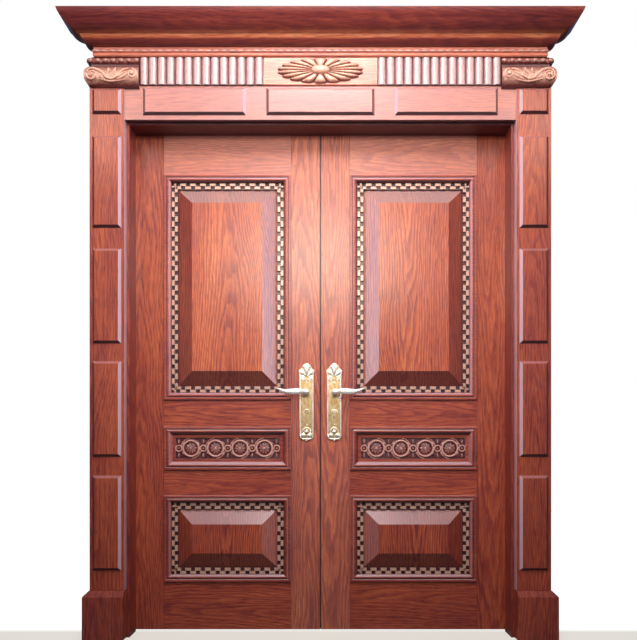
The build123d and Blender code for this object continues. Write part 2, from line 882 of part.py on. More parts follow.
def dentilled_section():
    """Bolection with a fillet, a quirk and an ovolo, and the flat seat of its dentil band."""
    Polyline((10.5, -5), (8.5, -10.5), (1.5, -10.5), (0, -9), (0, -tongue_front_q))
    ThreePointArc((10.5, -5), (23, -7), (profile_width, 6))
    Polyline(
        (profile_width, 6),
        (profile_width, -dentil_floor_q),
        (moulding_width, -dentil_floor_q),
        (moulding_width, -tongue_front_q),
        (0, -tongue_front_q),
    )


def plain_section():
    """The same bolection without a dentil band, for the carved panel."""
    Polyline((10.5, -5), (8.5, -10.5), (1.5, -10.5), (0, -9), (0, -carved_face_q))
    ThreePointArc((10.5, -5), (23, -7), (profile_width, 4))
    Polyline((profile_width, 4), (carved_moulding_width, -carved_face_q), (0, -carved_face_q))


def back_section():
    """Plain bevelled bead behind a panel."""
    Polyline(
        (0, -tongue_back_q),
        (0, leaf_thickness + 6),
        (9, leaf_thickness + 6),
        (22, leaf_thickness - 1),
        (back_moulding_width, leaf_thickness - 12),
        (back_moulding_width, -tongue_back_q),
        close=True,
    )


def dentil_centres(run):
    """Even spacing of blocks along a run between two corner blocks, measured from its middle."""
    count = round(run / dentil_pitch)
    return [step * run / count - run / 2 for step in range(count + 1)]


def dentil_band(heights):
    """Row of blocks round an opening, on the flat seat of its moulding."""
    row_inset = profile_width + dentil_gap + dentil_width / 2
    side_x = (hinge_stile_x - meeting_stile_x) / 2 - row_inset
    side_z = (heights[1] - heights[0]) / 2 - row_inset
    outer_x = side_x + dentil_width / 2
    outer_z = side_z + dentil_width / 2
    with BuildSketch(front_plane(dentil_floor_q)) as blocks:
        with Locations(((meeting_stile_x + hinge_stile_x) / 2, sum(heights) / 2)):
            with Locations(*[(x, z) for x in dentil_centres(2 * side_x) for z in (-side_z, side_z)]):
                Rectangle(dentil_length, dentil_width)
            with Locations(*[(x, z) for z in dentil_centres(2 * side_z) for x in (-side_x, side_x)]):
                Rectangle(dentil_width, dentil_length)
            Rectangle(2 * outer_x, 2 * outer_z, mode=Mode.INTERSECT)
    extrude(blocks.sketch, amount=dentil_top_q - dentil_floor_q)


for moulding_name, opening in (("upper_moulding", upper_opening), ("lower_moulding", lower_opening)):
    with BuildPart() as moulding:
        swept_frame(opening, dentilled_section)
        dentil_band(opening)
        swept_frame(opening, back_section)
    save_pair(moulding, moulding_name)

with BuildPart() as carved_moulding:
    swept_frame(carved_opening, plain_section)
    swept_frame(carved_opening, back_section)
save_pair(carved_moulding, "carved_moulding")


# Lift-off hinges: the jamb's plate carries the lower knuckle and its pin, the leaf's plate the upper knuckle
def barrel(heights):
    """A knuckle's barrel on the hinge axis, with few sides because the door has twelve."""
    with BuildSketch(plan_plane(heights[0])) as barrel_section:
        with Locations((hinge_axis_x, -hinge_axis_q)):
            RegularPolygon(knuckle_radius, knuckle_sides)
    extrude(barrel_section.sketch, amount=heights[1] - heights[0])


def pin(heights, radius, mode=Mode.ADD):
    """A round pin on the hinge axis, or the bore for one."""
    with BuildSketch(plan_plane(heights[0])) as pin_section:
        with Locations((hinge_axis_x, -hinge_axis_q)):
            Circle(radius)
    extrude(pin_section.sketch, amount=heights[1] - heights[0], mode=mode)


def hinge_plate(inner_x, hinge_z, knuckle_heights):
    """A plate let into the edge, with the strip that reaches back to its knuckle."""
    plate = (inner_x, inner_x + plate_thickness)
    board(plate, (back_q, hinge_plate_front_q), (hinge_z - hinge_half_height, hinge_z + hinge_half_height))
    board(plate, (hinge_axis_q, back_q), knuckle_heights)


with BuildPart() as jamb_hinges:
    for hinge_z in hinge_heights:
        lower_half = (hinge_z - hinge_half_height, hinge_z - knuckle_gap)
        hinge_plate(rebate_x, hinge_z, lower_half)
        barrel(lower_half)
        pin((lower_half[1], hinge_z + hinge_pin_length), hinge_pin_radius)
    mirror(about=Plane.YZ)
save(jamb_hinges, "jamb_hinges")

with BuildPart() as leaf_hinges:
    for hinge_z in hinge_heights:
        upper_half = (hinge_z + knuckle_gap, hinge_z + hinge_half_height)
        hinge_plate(leaf_outer_x - plate_thickness, hinge_z, upper_half)
        barrel(upper_half)
        pin((hinge_z, hinge_z + hinge_pin_length + 1), hinge_pin_radius + hinge_running_gap, Mode.SUBTRACT)
save_pair(leaf_hinges, "leaf_hinges")


# Backplates: a shaped brass plate with raised rims round a sunk arched field
field_half_width = 22.5
field_heights = (862.0, 1028.0)
dome_half_width = 19.0
mid_plane = front_plane(centre_q)
with BuildPart() as front_plate:
    with BuildSketch(front_plane(0)):
        with BuildLine():
            foot = Line((furniture_x, plate_foot_z - 8), (furniture_x + 8, plate_foot_z - 8))
            lobe = RadiusArc(foot @ 1, (furniture_x + plate_half_width, plate_foot_z), -18)
            side = Polyline(
                lobe @ 1,
                (furniture_x + plate_half_width, plate_shoulder_z - 16),
                (furniture_x + plate_half_width + 3, plate_shoulder_z),
            )
            shoulder = RadiusArc(side @ 1, (furniture_x + dome_half_width, plate_top_z - 15), 24)
            dome = ThreePointArc(
                shoulder @ 1,
                (furniture_x + dome_half_width * 0.6, plate_top_z - 4),
                (furniture_x, plate_top_z),
            )
            for half_line in (foot, lobe, side, shoulder, dome):
                mirror(half_line, about=Plane.YZ.offset(furniture_x))
        make_face()
        with Locations((furniture_x, plate_foot_z - 12)):
            RegularPolygon(7, 8)
    extrude(amount=backplate_front_q)
    with BuildSketch(front_plane(backplate_front_q)):
        with Locations((furniture_x, sum(field_heights) / 2)):
            Rectangle(2 * field_half_width, field_heights[1] - field_heights[0])
        with Locations((furniture_x, field_heights[1])):
            Circle(field_half_width)
    extrude(amount=backplate_field_q - backplate_front_q, mode=Mode.SUBTRACT)
    with BuildSketch(front_plane(backplate_front_q)):
        for boss_z, boss_radius in ((1101, 14), (842, 11)):
            with Locations((furniture_x, boss_z)):
                RegularPolygon(boss_radius, 8)
    extrude(amount=4)
    ornament_faces = front_plate.faces().sort_by(Axis.Y)[:2]
    chamfer(ornament_faces.edges(), 3)
    with BuildSketch(front_plane(0)):
        with Locations((furniture_x, lever_z)):
            Circle(lever_hole_radius)
        cylinder_outline()
    extrude(amount=backplate_front_q, mode=Mode.SUBTRACT)
save_pair(front_plate, "front_plate")

# The back plates aren't in view: plain, of the same length and width
with BuildPart() as back_plate:
    with BuildSketch(front_plane(back_q)):
        with Locations((furniture_x, (plate_foot_z + plate_top_z) / 2)):
            Rectangle(2 * plate_half_width, plate_top_z - plate_foot_z)
    extrude(amount=-backplate_front_q)
    outer_corners = back_plate.edges().filter_by(Axis.Y)
    chamfer(outer_corners, 9)
    back_face = back_plate.faces().sort_by(Axis.Y)[-1]
    chamfer(back_face.edges(), 3)
    with BuildSketch(front_plane(back_q)):
        with Locations((furniture_x, lever_z)):
            Circle(lever_hole_radius)
        cylinder_outline()
    extrude(amount=-backplate_front_q, mode=Mode.SUBTRACT)
save_pair(back_plate, "back_plate")


# Levers: a round neck under a swelling handle that narrows to a turned-up tip
def lever_form():
    """Neck and handle of a front lever."""
    neck_q = 0.6
    with BuildSketch(front_plane(neck_q)) as neck:
        with Locations((furniture_x, lever_z)):
            Circle(lever_neck_radius)
    extrude(neck.sketch, amount=lever_blade_q[0] - neck_q)
    with BuildSketch(front_plane(lever_blade_q[0])) as handle:
        with Locations((furniture_x, lever_z)):
            Circle(13)
        with BuildLine():
            Polyline(*[(furniture_x + x, lever_z + z) for x, z in handle_outline], close=True)
        make_face()
    extrude(handle.sketch, amount=lever_blade_q[1] - lever_blade_q[0])


spindle_back_q = -100.0
with BuildPart() as front_lever:
    lever_form()
    with BuildSketch(front_plane(spindle_back_q)):
        with Locations((furniture_x, lever_z)):
            Rectangle(spindle_side, spindle_side)
    extrude(amount=10 - spindle_back_q)
save_pair(front_lever, "front_lever")

with BuildPart() as lever_casting:
    lever_form()

with BuildPart() as back_lever:
    mirror(lever_casting.part, about=mid_plane)
    with BuildSketch(front_plane(spindle_back_q)):
        with Locations((furniture_x, lever_z)):
            Rectangle(spindle_side, spindle_side)
    extrude(amount=10 - spindle_back_q, mode=Mode.SUBTRACT)
save_pair(back_lever, "back_lever")
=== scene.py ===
"""Looks of the oak double door: stain, carving, cast brass, studio light and the photograph's camera."""

from math import cos, pi, radians, sin
import random

import bmesh
import bpy
import numpy as np
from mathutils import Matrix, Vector


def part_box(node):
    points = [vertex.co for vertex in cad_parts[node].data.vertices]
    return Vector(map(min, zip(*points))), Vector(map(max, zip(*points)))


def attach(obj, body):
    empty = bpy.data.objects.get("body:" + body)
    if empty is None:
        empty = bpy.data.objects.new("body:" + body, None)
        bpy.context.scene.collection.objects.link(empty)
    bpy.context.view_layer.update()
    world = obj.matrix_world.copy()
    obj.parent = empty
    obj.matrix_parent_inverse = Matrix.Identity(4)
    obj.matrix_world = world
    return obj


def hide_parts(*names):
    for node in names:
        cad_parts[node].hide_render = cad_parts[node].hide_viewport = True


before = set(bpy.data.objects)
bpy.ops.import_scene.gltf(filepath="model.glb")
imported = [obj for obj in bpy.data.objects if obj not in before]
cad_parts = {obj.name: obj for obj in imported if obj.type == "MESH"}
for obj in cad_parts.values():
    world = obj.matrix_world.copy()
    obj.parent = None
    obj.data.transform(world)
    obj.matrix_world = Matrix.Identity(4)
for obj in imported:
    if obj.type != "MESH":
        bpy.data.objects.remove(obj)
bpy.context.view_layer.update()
MM = 0.001
SIDES = (("right", 1), ("left", -1))

# The photograph's size, lens and horizon in pixels, and its viewpoint in metres
PHOTO_WIDTH_PX = 637
PHOTO_HEIGHT_PX = 640
FOCAL_PX = 857
HORIZON_PX = 450
CENTRE_X_PX = 320.4
SENSOR_MM = 36.0
CAMERA_DISTANCE = 3.6
CAMERA_HEIGHT = 0.761

# Depths are named q as in the part: the distance in front of the leaves' front face, in millimetres
LEAF_FACE_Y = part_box("right_hinge_stile")[0][1]


def depth_y(q):
    """The frame's Y of a depth."""
    return LEAF_FACE_Y - q * MM


def box_mm(node):
    """A node's limits in millimetres, as (low, high) pairs of X, depth and height."""
    low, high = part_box(node)
    depths = ((LEAF_FACE_Y - high[1]) / MM, (LEAF_FACE_Y - low[1]) / MM)
    return (low[0] / MM, high[0] / MM), depths, (low[2] / MM, high[2] / MM)


# Materials
def shader(name, base, roughness, metallic=0.0, coat=0.0, coat_roughness=0.1):
    """A new material with its Principled shader set, and that shader."""
    material = bpy.data.materials.new(name)
    material.use_nodes = True
    surface = material.node_tree.nodes["Principled BSDF"]
    for socket, value in (
        ("Base Color", (*base, 1)), ("Roughness", roughness), ("Metallic", metallic),
        ("Coat Weight", coat), ("Coat Roughness", coat_roughness),
    ):
        surface.inputs[socket].default_value = value
    return material, surface


class Nodes:
    """Short calls for building a node tree. space is the frame's coordinates, place their X, Y and Z."""

    def __init__(self, owner):
        self.tree = owner.node_tree
        self.coordinates = self.add("ShaderNodeTexCoord").outputs
        self.space = self.coordinates["Object"]
        self.place = self.split(self.space)

    def add(self, kind, values=(), **settings):
        """A new node with its settings, and its inputs linked or set by their names or numbers."""
        node = self.tree.nodes.new(kind)
        for name, setting in settings.items():
            setattr(node, name, setting)
        for name, value in dict(values).items():
            if isinstance(value, bpy.types.NodeSocket):
                self.link(value, node.inputs[name])
            else:
                node.inputs[name].default_value = value
        return node

    def link(self, source, target):
        self.tree.links.new(source, target)

    def split(self, vector):
        return tuple(self.add("ShaderNodeSeparateXYZ", {0: vector}).outputs)

    def join(self, *parts):
        return self.add("ShaderNodeCombineXYZ", enumerate(parts)).outputs[0]

    def math(self, operation, first, second=0.0):
        return self.add("ShaderNodeMath", {0: first, 1: second}, operation=operation).outputs[0]

    def weigh(self, *terms):
        """Sum of values, each times its weight."""
        total = 0.0
        for value, weight in terms:
            total = self.math("ADD", self.math("MULTIPLY", value, weight), total)
        return total

    def noise(self, vector, scale, offset=(0, 0, 0), detail=2.0, roughness=0.5):
        """Noise with its own scale on each axis, in waves a metre."""
        mapping = self.add("ShaderNodeMapping", {"Vector": vector, "Scale": scale, "Location": offset})
        values = {"Vector": mapping.outputs[0], "Scale": 1.0, "Detail": detail, "Roughness": roughness}
        return self.add("ShaderNodeTexNoise", values).outputs["Fac"]

    def spread(self, value, low, high, to_low=0.0, to_high=1.0):
        """The value carried from one range to another and held at its ends."""
        values = {"Value": value, "From Min": low, "From Max": high, "To Min": to_low, "To Max": to_high}
        return self.add("ShaderNodeMapRange", values).outputs["Result"]

    def ramp(self, value, stops):
        """A colour ramp through (position, colour) stops."""
        node = self.add("ShaderNodeValToRGB", {"Fac": value})
        elements = node.color_ramp.elements
        elements.remove(elements[1])
        for index, (position, colour) in enumerate(stops):
            element = elements[0] if index == 0 else elements.new(position)
            element.position = position
            element.color = (*colour, 1)
        return node.outputs["Color"]

    def mix(self, factor, first, second):
        """The first colour with a share of the second; a colour is a socket or three numbers."""
        first, second = ((*colour, 1) if isinstance(colour, tuple) else colour for colour in (first, second))
        return self.add("ShaderNodeMix", {0: factor, 6: first, 7: second}, data_type="RGBA").outputs[2]

    def bump(self, height, strength, surface):
        values = {"Height": height, "Distance": BUMP_DISTANCE, "Strength": strength}
        self.link(self.add("ShaderNodeBump", values).outputs["Normal"], surface.inputs["Normal"])


BUMP_DISTANCE = 0.0003
WHITE = (1, 1, 1)

# Stain from dark to pale with the place of each colour on the wood's scale, and the colours of painted sheen
# and painted shade laid over it
STAIN_DARK = (0.055, 0.008, 0.014)
STAIN_DEEP = (0.150, 0.019, 0.020)
STAIN_MID = (0.310, 0.048, 0.026)
STAIN_WARM = (0.550, 0.120, 0.040)
STAIN_BRIGHT = (0.800, 0.290, 0.115)
STAIN_PALE = (0.880, 0.560, 0.380)
STAIN_STOPS = (
    (0.0, STAIN_DARK), (0.176, STAIN_DEEP), (0.36, STAIN_MID), (0.576, STAIN_WARM), (0.8, STAIN_BRIGHT),
    (1.0, STAIN_PALE),
)
# Colour of the painted sheen
PAINTED_SHEEN = (0.720, 0.530, 0.480)
# Colour of painted shade
PAINTED_SHADE = (0.035, 0.018, 0.026)

# Noise in the wood: waves a metre across and along the grain, detail and roughness
WOOD_NOISE = {
    "drift": (1.5, 1.1, 2.0, 0.5), "wander": (24.0, 3.0, 2.0, 0.5), "fibre": (360.0, 11.0, 2.0, 0.6),
    "fleck": (150.0, 14.0, 2.0, 0.65), "patch": (9.0, 1.6, 2.0, 0.5), "pores": (520.0, 22.0, 1.0, 0.5),
}
NOISE_STEPS = (3.17, 1.31, 2.23)
NOISE_RANGE = (0.3, 0.7)
PORE_RANGE = (0.57, 0.66)
PORE_DARKNESS = 0.55
# Share of each pattern in the wood's lightness, and how their sum is carried to the scale of the stain
RING_SHARE = 0.20
FLECK_SHARE = 0.42
PATCH_SHARE = 0.40
FIBRE_SHARE = 0.26
LIGHTNESS_LOWERED = 0.17
LIGHTNESS_SCALE = 0.8
# Growth rings, in metres: where a log's pith may lie, their pitch, and how far slow noise bends them
PITH_SIDE = (-0.03, 0.03)
PITH_DEPTH = (0.035, 0.075)
PITH_LEAN = (0.035, 0.060)
RING_PITCH = 0.0085
RING_DRIFT = 0.030
RING_WANDER = 0.005
RING_JOG = 0.55
RING_SHADES = ((0.0, 0.0), (0.22, 0.05), (0.55, 0.75), (0.93, 1.0), (1.0, 0.1))

# Each kind of board: the grain's axis, how much lighter its wood is, and how strongly its rings show.
# The lightness is partly painted light: painted shade darkens the head jamb, which lies in the shade under
# the head, and painted sheen lightens the head casing, frieze, top rail and upper mouldings, where the
# overhead light reflects.
BOARDS = {
    "jamb": ("Z", -0.06, 0.8), "pilaster": ("Z", 0.07, 0.8), "plinth": ("Z", 0.02, 0.8),
    "rear_casing": ("Z", 0.0, 0.8), "hinge_stile": ("Z", 0.06, 0.9), "meeting_stile": ("Z", 0.07, 1.3),
    "upper_panel": ("Z", 0.10, 1.2), "lower_panel": ("Z", -0.01, 1.4),
    # painted shade: the head jamb's low tone stands in for the shade under the head
    "head_jamb": ("X", -0.40, 0.4), "head_casing": ("X", 0.15, 0.5), "head_rear_casing": ("X", 0.0, 0.8),
    "frieze": ("X", 0.34, 0.4), "rosette": ("X", 0.0, 0.8), "capital": ("X", 0.0, 0.8),
    "bed_moulding": ("X", 0.22, 0.4), "cornice": ("X", -0.05, 0.6),
    "top_rail": ("X", 0.17, 0.9), "lock_rail": ("X", 0.03, 0.9), "cross_rail": ("X", 0.05, 0.9),
    "bottom_rail": ("X", 0.03, 0.9), "carved_panel": ("X", 0.05, 0.6),
    "upper_moulding": ("X", 0.10, 0.4), "carved_moulding": ("X", 0.06, 0.4),
    "lower_moulding": ("X", 0.05, 0.4),
}
# Depth past which blocks are planted on a board, and how far the figure of their wood is shifted, in metres
PLANTED_DEPTHS = {"pilaster": 159.5, "head_casing": 153.5}
PLANTED_SHIFT = 0.021
# Share of painted sheen on the boards round the opening's head: a pale wash standing in for the overhead
# light's reflection there
SHEEN_PAINTED_BOARDS = {
    "head_casing": 0.26, "top_rail": 0.14, "meeting_stile": 0.07, "frieze": 0.10, "bed_moulding": 0.10,
}
# Painted highlight on the lowest member of the crown, where its torus faces the light: its heights in metres,
# how much lighter, and its soft edges
PAINTED_HIGHLIGHT_BANDS = {"cornice": (2.394, 2.412, 0.42)}
BAND_EDGE_OUT = 0.004
BAND_EDGE_IN = 0.002
# Sloping faces, given painted light: the painted highlight's colour, shares of painted highlight for slopes
# that face up and inwards, and shares of painted shade for slopes that face down and outwards
SLOPE_LIGHT_AND_SHADE = {
    "upper_panel": ((0.27, 0.32, 0.31), 0.42, 0.26, 0.62, 0.42),
    "lower_panel": ((0.50, 0.36, 0.34), 0.45, 0.20, 0.45, 0.20),
    "pilaster": ((0.70, 0.50, 0.52), 0.20, 0.75, 0.85, 0.35),
    "head_casing": ((0.66, 0.55, 0.66), 0.10, 0.60, 0.85, 0.60),
    "cornice": ((0.60, 0.40, 0.30), 0.0, 0.0, 0.30, 0.0),
    "upper_moulding": ((0.62, 0.42, 0.46), 0.45, 0.36, 0.80, 0.45),
    "carved_moulding": ((0.66, 0.46, 0.46), 0.60, 0.24, 0.85, 0.45),
    "lower_moulding": ((0.66, 0.46, 0.46), 0.60, 0.24, 0.85, 0.45),
}
SLOPE_RANGE = (0.15, 0.30)
# Painted shade where shade falls: in the groove round the dentil ribbons, in the gap where the leaves meet,
# and on the stiles beside the mouldings' outer edges. The axis, the coordinates in metres where it starts and
# is full, and its share.
# Those along X hold on both sides of the door's middle.
GROOVE_SHADE = (1, depth_y(-11.5), depth_y(-14.0), 0.88)
PAINTED_SHADE_RANGES = {
    "meeting_stile": ((0, 0.0052, 0.0016, 0.85), (0, 0.1205, 0.1232, 0.55)),
    "hinge_stile": ((0, 0.6605, 0.6578, 0.55),),
    "upper_moulding": (GROOVE_SHADE,),
    "lower_moulding": (GROOVE_SHADE,),
}


def grain_space(nodes, along, planted_q):
    """The frame's coordinates turned so that the third runs along the grain and the second into the board.

    Blocks planted in front of planted_q are cut from other wood: their figure is shifted sideways.
    """
    x, y, z = nodes.place
    if planted_q is not None:
        shift = nodes.math("MULTIPLY", nodes.math("LESS_THAN", y, depth_y(planted_q)), PLANTED_SHIFT)
        x = nodes.math("ADD", x, shift)
        z = nodes.math("ADD", z, shift)
    return nodes.join(x, y, z) if along == "Z" else nodes.join(z, y, x)


def growth_rings(nodes, grain, middle, seed, noise, fibre):
    """Rings of a log whose pith runs slightly askew behind the board, as light and dark wood.

    middle is the board's middle across and along the grain. Slow noise bends the rings and fibres jog them.
    """
    draw = random.Random(seed)
    pith_side = draw.uniform(*PITH_SIDE)
    pith_depth = draw.uniform(*PITH_DEPTH)
    lean = draw.choice((-1, 1)) * draw.uniform(*PITH_LEAN)
    across, _, lengthwise = nodes.split(grain)
    drift = nodes.spread(noise("drift"), *NOISE_RANGE, -RING_DRIFT, RING_DRIFT)
    wander = nodes.spread(noise("wander"), *NOISE_RANGE, -RING_WANDER, RING_WANDER)
    side = nodes.math("ADD", nodes.math("SUBTRACT", across, middle[0] + pith_side), drift)
    run = nodes.math("SUBTRACT", lengthwise, middle[1])
    depth = nodes.math("ADD", nodes.math("MULTIPLY", run, lean), pith_depth)
    squares = nodes.weigh((nodes.math("POWER", side, 2.0), 1.0), (nodes.math("POWER", depth, 2.0), 1.0))
    radius = nodes.math("ADD", nodes.math("SQRT", squares), wander)
    jog = nodes.math("MULTIPLY", fibre, RING_JOG)
    phase = nodes.math("ADD", nodes.math("DIVIDE", radius, RING_PITCH), jog)
    return nodes.ramp(nodes.math("FRACT", phase), [(place, (shade,) * 3) for place, shade in RING_SHADES])


def paint_slope_light_and_shade(nodes, colour, highlight, up_share, in_share, down_share, out_share):
    """Painted light on sloping faces: a painted highlight on slopes that face up or towards the door's
    middle, where the lights fall, and painted shade on those that face down or outwards.
    """
    facing_x, _, upwards = nodes.split(nodes.coordinates["Normal"])
    outwards = nodes.math("MULTIPLY", facing_x, nodes.math("SIGN", nodes.place[0]))
    for facing, sense, share, tint in (
        (upwards, 1, up_share, highlight), (outwards, -1, in_share, highlight),
        (upwards, -1, down_share, PAINTED_SHADE), (outwards, 1, out_share, PAINTED_SHADE),
    ):
        if share:
            start, full = (sense * limit for limit in SLOPE_RANGE)
            colour = nodes.mix(nodes.spread(facing, start, full, 0.0, share), colour, tint)
    return colour


def oak(name, kind, centre, seed):
    """Stained open-grained oak for one board of a kind, whose middle is at centre."""
    along, tone, figure = BOARDS[kind]
    material, surface = shader(f"oak_{name}", STAIN_MID, 0.45, coat=0.50, coat_roughness=0.22)
    surface.inputs["Specular IOR Level"].default_value = 0.28
    nodes = Nodes(material)
    grain = grain_space(nodes, along, PLANTED_DEPTHS.get(kind))
    middle = (centre[0], centre[2]) if along == "Z" else (centre[2], centre[0])
    offset = tuple(seed * step for step in NOISE_STEPS)

    def noise(pattern):
        across, lengthwise, detail, roughness = WOOD_NOISE[pattern]
        return nodes.noise(grain, (across, across, lengthwise), offset, detail, roughness)

    fibre = noise("fibre")
    rings = growth_rings(nodes, grain, middle, seed, noise, fibre)
    lightness = nodes.weigh(
        (rings, RING_SHARE * figure), (noise("fleck"), FLECK_SHARE), (noise("patch"), PATCH_SHARE),
        (fibre, FIBRE_SHARE),
    )
    lightness = nodes.math("ADD", lightness, tone - LIGHTNESS_LOWERED)
    # Painted highlight where the crown's band faces the light
    if kind in PAINTED_HIGHLIGHT_BANDS:
        low, high, extra = PAINTED_HIGHLIGHT_BANDS[kind]
        above = nodes.spread(nodes.place[2], low - BAND_EDGE_OUT, low + BAND_EDGE_IN)
        below = nodes.spread(nodes.place[2], high + BAND_EDGE_OUT, high - BAND_EDGE_IN)
        inside = nodes.math("MULTIPLY", above, below)
        lightness = nodes.math("ADD", lightness, nodes.math("MULTIPLY", inside, extra))
    colour = nodes.ramp(nodes.math("MULTIPLY", lightness, LIGHTNESS_SCALE), STAIN_STOPS)
    pores = nodes.spread(noise("pores"), *PORE_RANGE)
    colour = nodes.mix(nodes.math("MULTIPLY", pores, PORE_DARKNESS), colour, STAIN_DARK)
    # Painted sheen of the overhead light on the boards round the head
    if kind in SHEEN_PAINTED_BOARDS:
        colour = nodes.mix(SHEEN_PAINTED_BOARDS[kind], colour, PAINTED_SHEEN)
    # Painted highlight and painted shade on sloping faces, by the way they face
    if kind in SLOPE_LIGHT_AND_SHADE:
        colour = paint_slope_light_and_shade(nodes, colour, *SLOPE_LIGHT_AND_SHADE[kind])
    # Painted shade in the ribbons' groove, in the gap between the leaves and beside the mouldings' edges
    for axis, start, full, share in PAINTED_SHADE_RANGES.get(kind, ()):
        reach = nodes.math("ABSOLUTE", nodes.place[axis]) if axis == 0 else nodes.place[axis]
        colour = nodes.mix(nodes.spread(reach, start, full, 0.0, share), colour, PAINTED_SHADE)
    nodes.link(colour, surface.inputs["Base Color"])
    nodes.link(nodes.spread(fibre, 0.2, 0.8, 0.40, 0.52), surface.inputs["Roughness"])
    height = nodes.math("SUBTRACT", nodes.math("MULTIPLY", fibre, 0.5), pores)
    nodes.bump(height, 0.30, surface)
    return material


# Carved wood: the sum of its two colours over this is a middle colour, a little darker than their mean
MIDDLE_DIVISOR = 2.4
CARVING_MOTTLE = 0.22


def carved_oak(name, floor_q, crest_q, low_colour, high_colour, seed=1):
    """Carved oak, darker towards its recesses and brighter towards its crests: painted shade in the hollows
    and a painted highlight on the crests.
    """
    material, surface = shader(name, high_colour, 0.30, coat=0.55, coat_roughness=0.22)
    nodes = Nodes(material)
    rise = nodes.spread(nodes.place[1], depth_y(floor_q), depth_y(crest_q))
    fleck = nodes.noise(nodes.space, (160.0, 160.0, 60.0), (seed, seed, seed), 3.0, 0.6)
    rise_and_mottle = nodes.math("ADD", rise, nodes.spread(fleck, 0.25, 0.75, -CARVING_MOTTLE, CARVING_MOTTLE))
    middle = tuple((low + high) / MIDDLE_DIVISOR for low, high in zip(low_colour, high_colour))
    # Painted shade towards the recesses and a painted highlight towards the crests
    colour = nodes.ramp(rise_and_mottle, ((0.0, STAIN_DARK), (0.25, low_colour), (0.65, middle), (1.0, high_colour)))
    nodes.link(colour, surface.inputs["Base Color"])
    nodes.bump(fleck, 0.25, surface)
    return material


def brass(name, base, roughness, metallic=1.0):
    """Polished cast metal with a faint unevenness."""
    material, surface = shader(name, base, roughness, metallic)
    nodes = Nodes(material)
    patches = nodes.noise(nodes.space, (60, 60, 60), detail=3.0, roughness=0.6)
    uneven = nodes.spread(patches, *NOISE_RANGE, roughness - 0.05, roughness + 0.07)
    nodes.link(uneven, surface.inputs["Roughness"])
    nodes.bump(patches, 0.15, surface)
    return material


BRASS_STOPS = (
    (0.0, (0.40, 0.21, 0.025)), (0.30, (0.54, 0.31, 0.06)),
    (0.62, (0.97, 0.85, 0.58)), (1.0, (1.0, 0.95, 0.82)),
)
BRASS_MOTTLE = 0.12


def two_tone_brass(name, floor_q, crest_q):
    """Cast brass, darker gold where it is low and polished nearly white on its rims."""
    material, surface = shader(name, (0.9, 0.8, 0.6), 0.30, metallic=0.85)
    nodes = Nodes(material)
    rise = nodes.spread(nodes.place[1], depth_y(floor_q), depth_y(crest_q))
    patches = nodes.noise(nodes.space, (90, 90, 40), detail=3.0, roughness=0.6)
    rise_and_mottle = nodes.math("ADD", rise, nodes.spread(patches, *NOISE_RANGE, -BRASS_MOTTLE, BRASS_MOTTLE))
    nodes.link(nodes.ramp(rise_and_mottle, BRASS_STOPS), surface.inputs["Base Color"])
    nodes.bump(patches, 0.12, surface)
    return material


# Floor: two creams, its own glow to the camera, and the limits of Y between which it turns white
FLOOR_CREAMS = ((0.27, 0.26, 0.24), (0.24, 0.235, 0.21))
FLOOR_GLOW = (0.72, 0.69, 0.62)
FLOOR_TURN = (LEAF_FACE_Y - 0.02, LEAF_FACE_Y + 0.05)


def floor_paint():
    """Cream studio floor that turns into the white background just behind the door."""
    material, surface = shader("floor_cream", (0.5, 0.48, 0.44), 0.8)
    nodes = Nodes(material)
    behind = nodes.spread(nodes.place[1], *FLOOR_TURN)
    nodes.link(nodes.mix(nodes.noise(nodes.space, (3, 3, 3)), *FLOOR_CREAMS), surface.inputs["Base Color"])
    nodes.link(nodes.mix(behind, FLOOR_GLOW, WHITE), surface.inputs["Emission Color"])
    seen = nodes.add("ShaderNodeLightPath").outputs["Is Camera Ray"]
    strength = nodes.math("MULTIPLY", seen, nodes.spread(behind, 0, 1, 0.85, 1.0))
    nodes.link(strength, surface.inputs["Emission Strength"])
    return material


plate_brass = brass("plate_brass", (0.92, 0.78, 0.52), 0.24)
lever_brass = brass("lever_brass", (1.0, 0.95, 0.84), 0.30, 0.55)
steel = brass("lock_steel", (0.62, 0.62, 0.64), 0.32)
backplate_brass = two_tone_brass("backplate_brass", 3.5, 9.5)
ribbon_oak = carved_oak("ribbon_oak", -14, -6.5, STAIN_DEEP, (0.60, 0.36, 0.25))
guilloche_oak = carved_oak("guilloche_oak", -17, -6, STAIN_DEEP, (0.72, 0.37, 0.28), 2)
rosette_oak = carved_oak("rosette_oak", 163, 179, STAIN_DEEP, (0.76, 0.38, 0.24), 3)
capital_oak = carved_oak("capital_oak", 163, 197, STAIN_DEEP, (0.78, 0.42, 0.28), 4)
reed_oak = carved_oak("reed_oak", 153, 165, (0.27, 0.10, 0.09), (0.50, 0.33, 0.30), 5)


def paint(piece, material):
    """Give a CAD node or a piece one material."""
    mesh = piece.data
    mesh.materials.clear()
    mesh.materials.append(material)


def kind_of(name):
    """A node's name without its side."""
    return name.replace("left_", "", 1).replace("right_", "", 1)


def finish_nodes():
    """Give every node of the part its material."""
    for seed, (name, node) in enumerate(sorted(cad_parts.items()), 1):
        kind = kind_of(name)
        if kind in BOARDS:
            low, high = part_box(name)
            paint(node, oak(name, kind, (low + high) / 2, seed))
        else:
            paint(node, steel if name == "lock_case" else plate_brass)


# Smooth shading and eased edges of the part's own nodes
WELD_DISTANCE = 0.00001
CREASE_ANGLE = radians(38)
EASED_WIDTH = 2.0 * MM
EASED_ANGLE = radians(25)


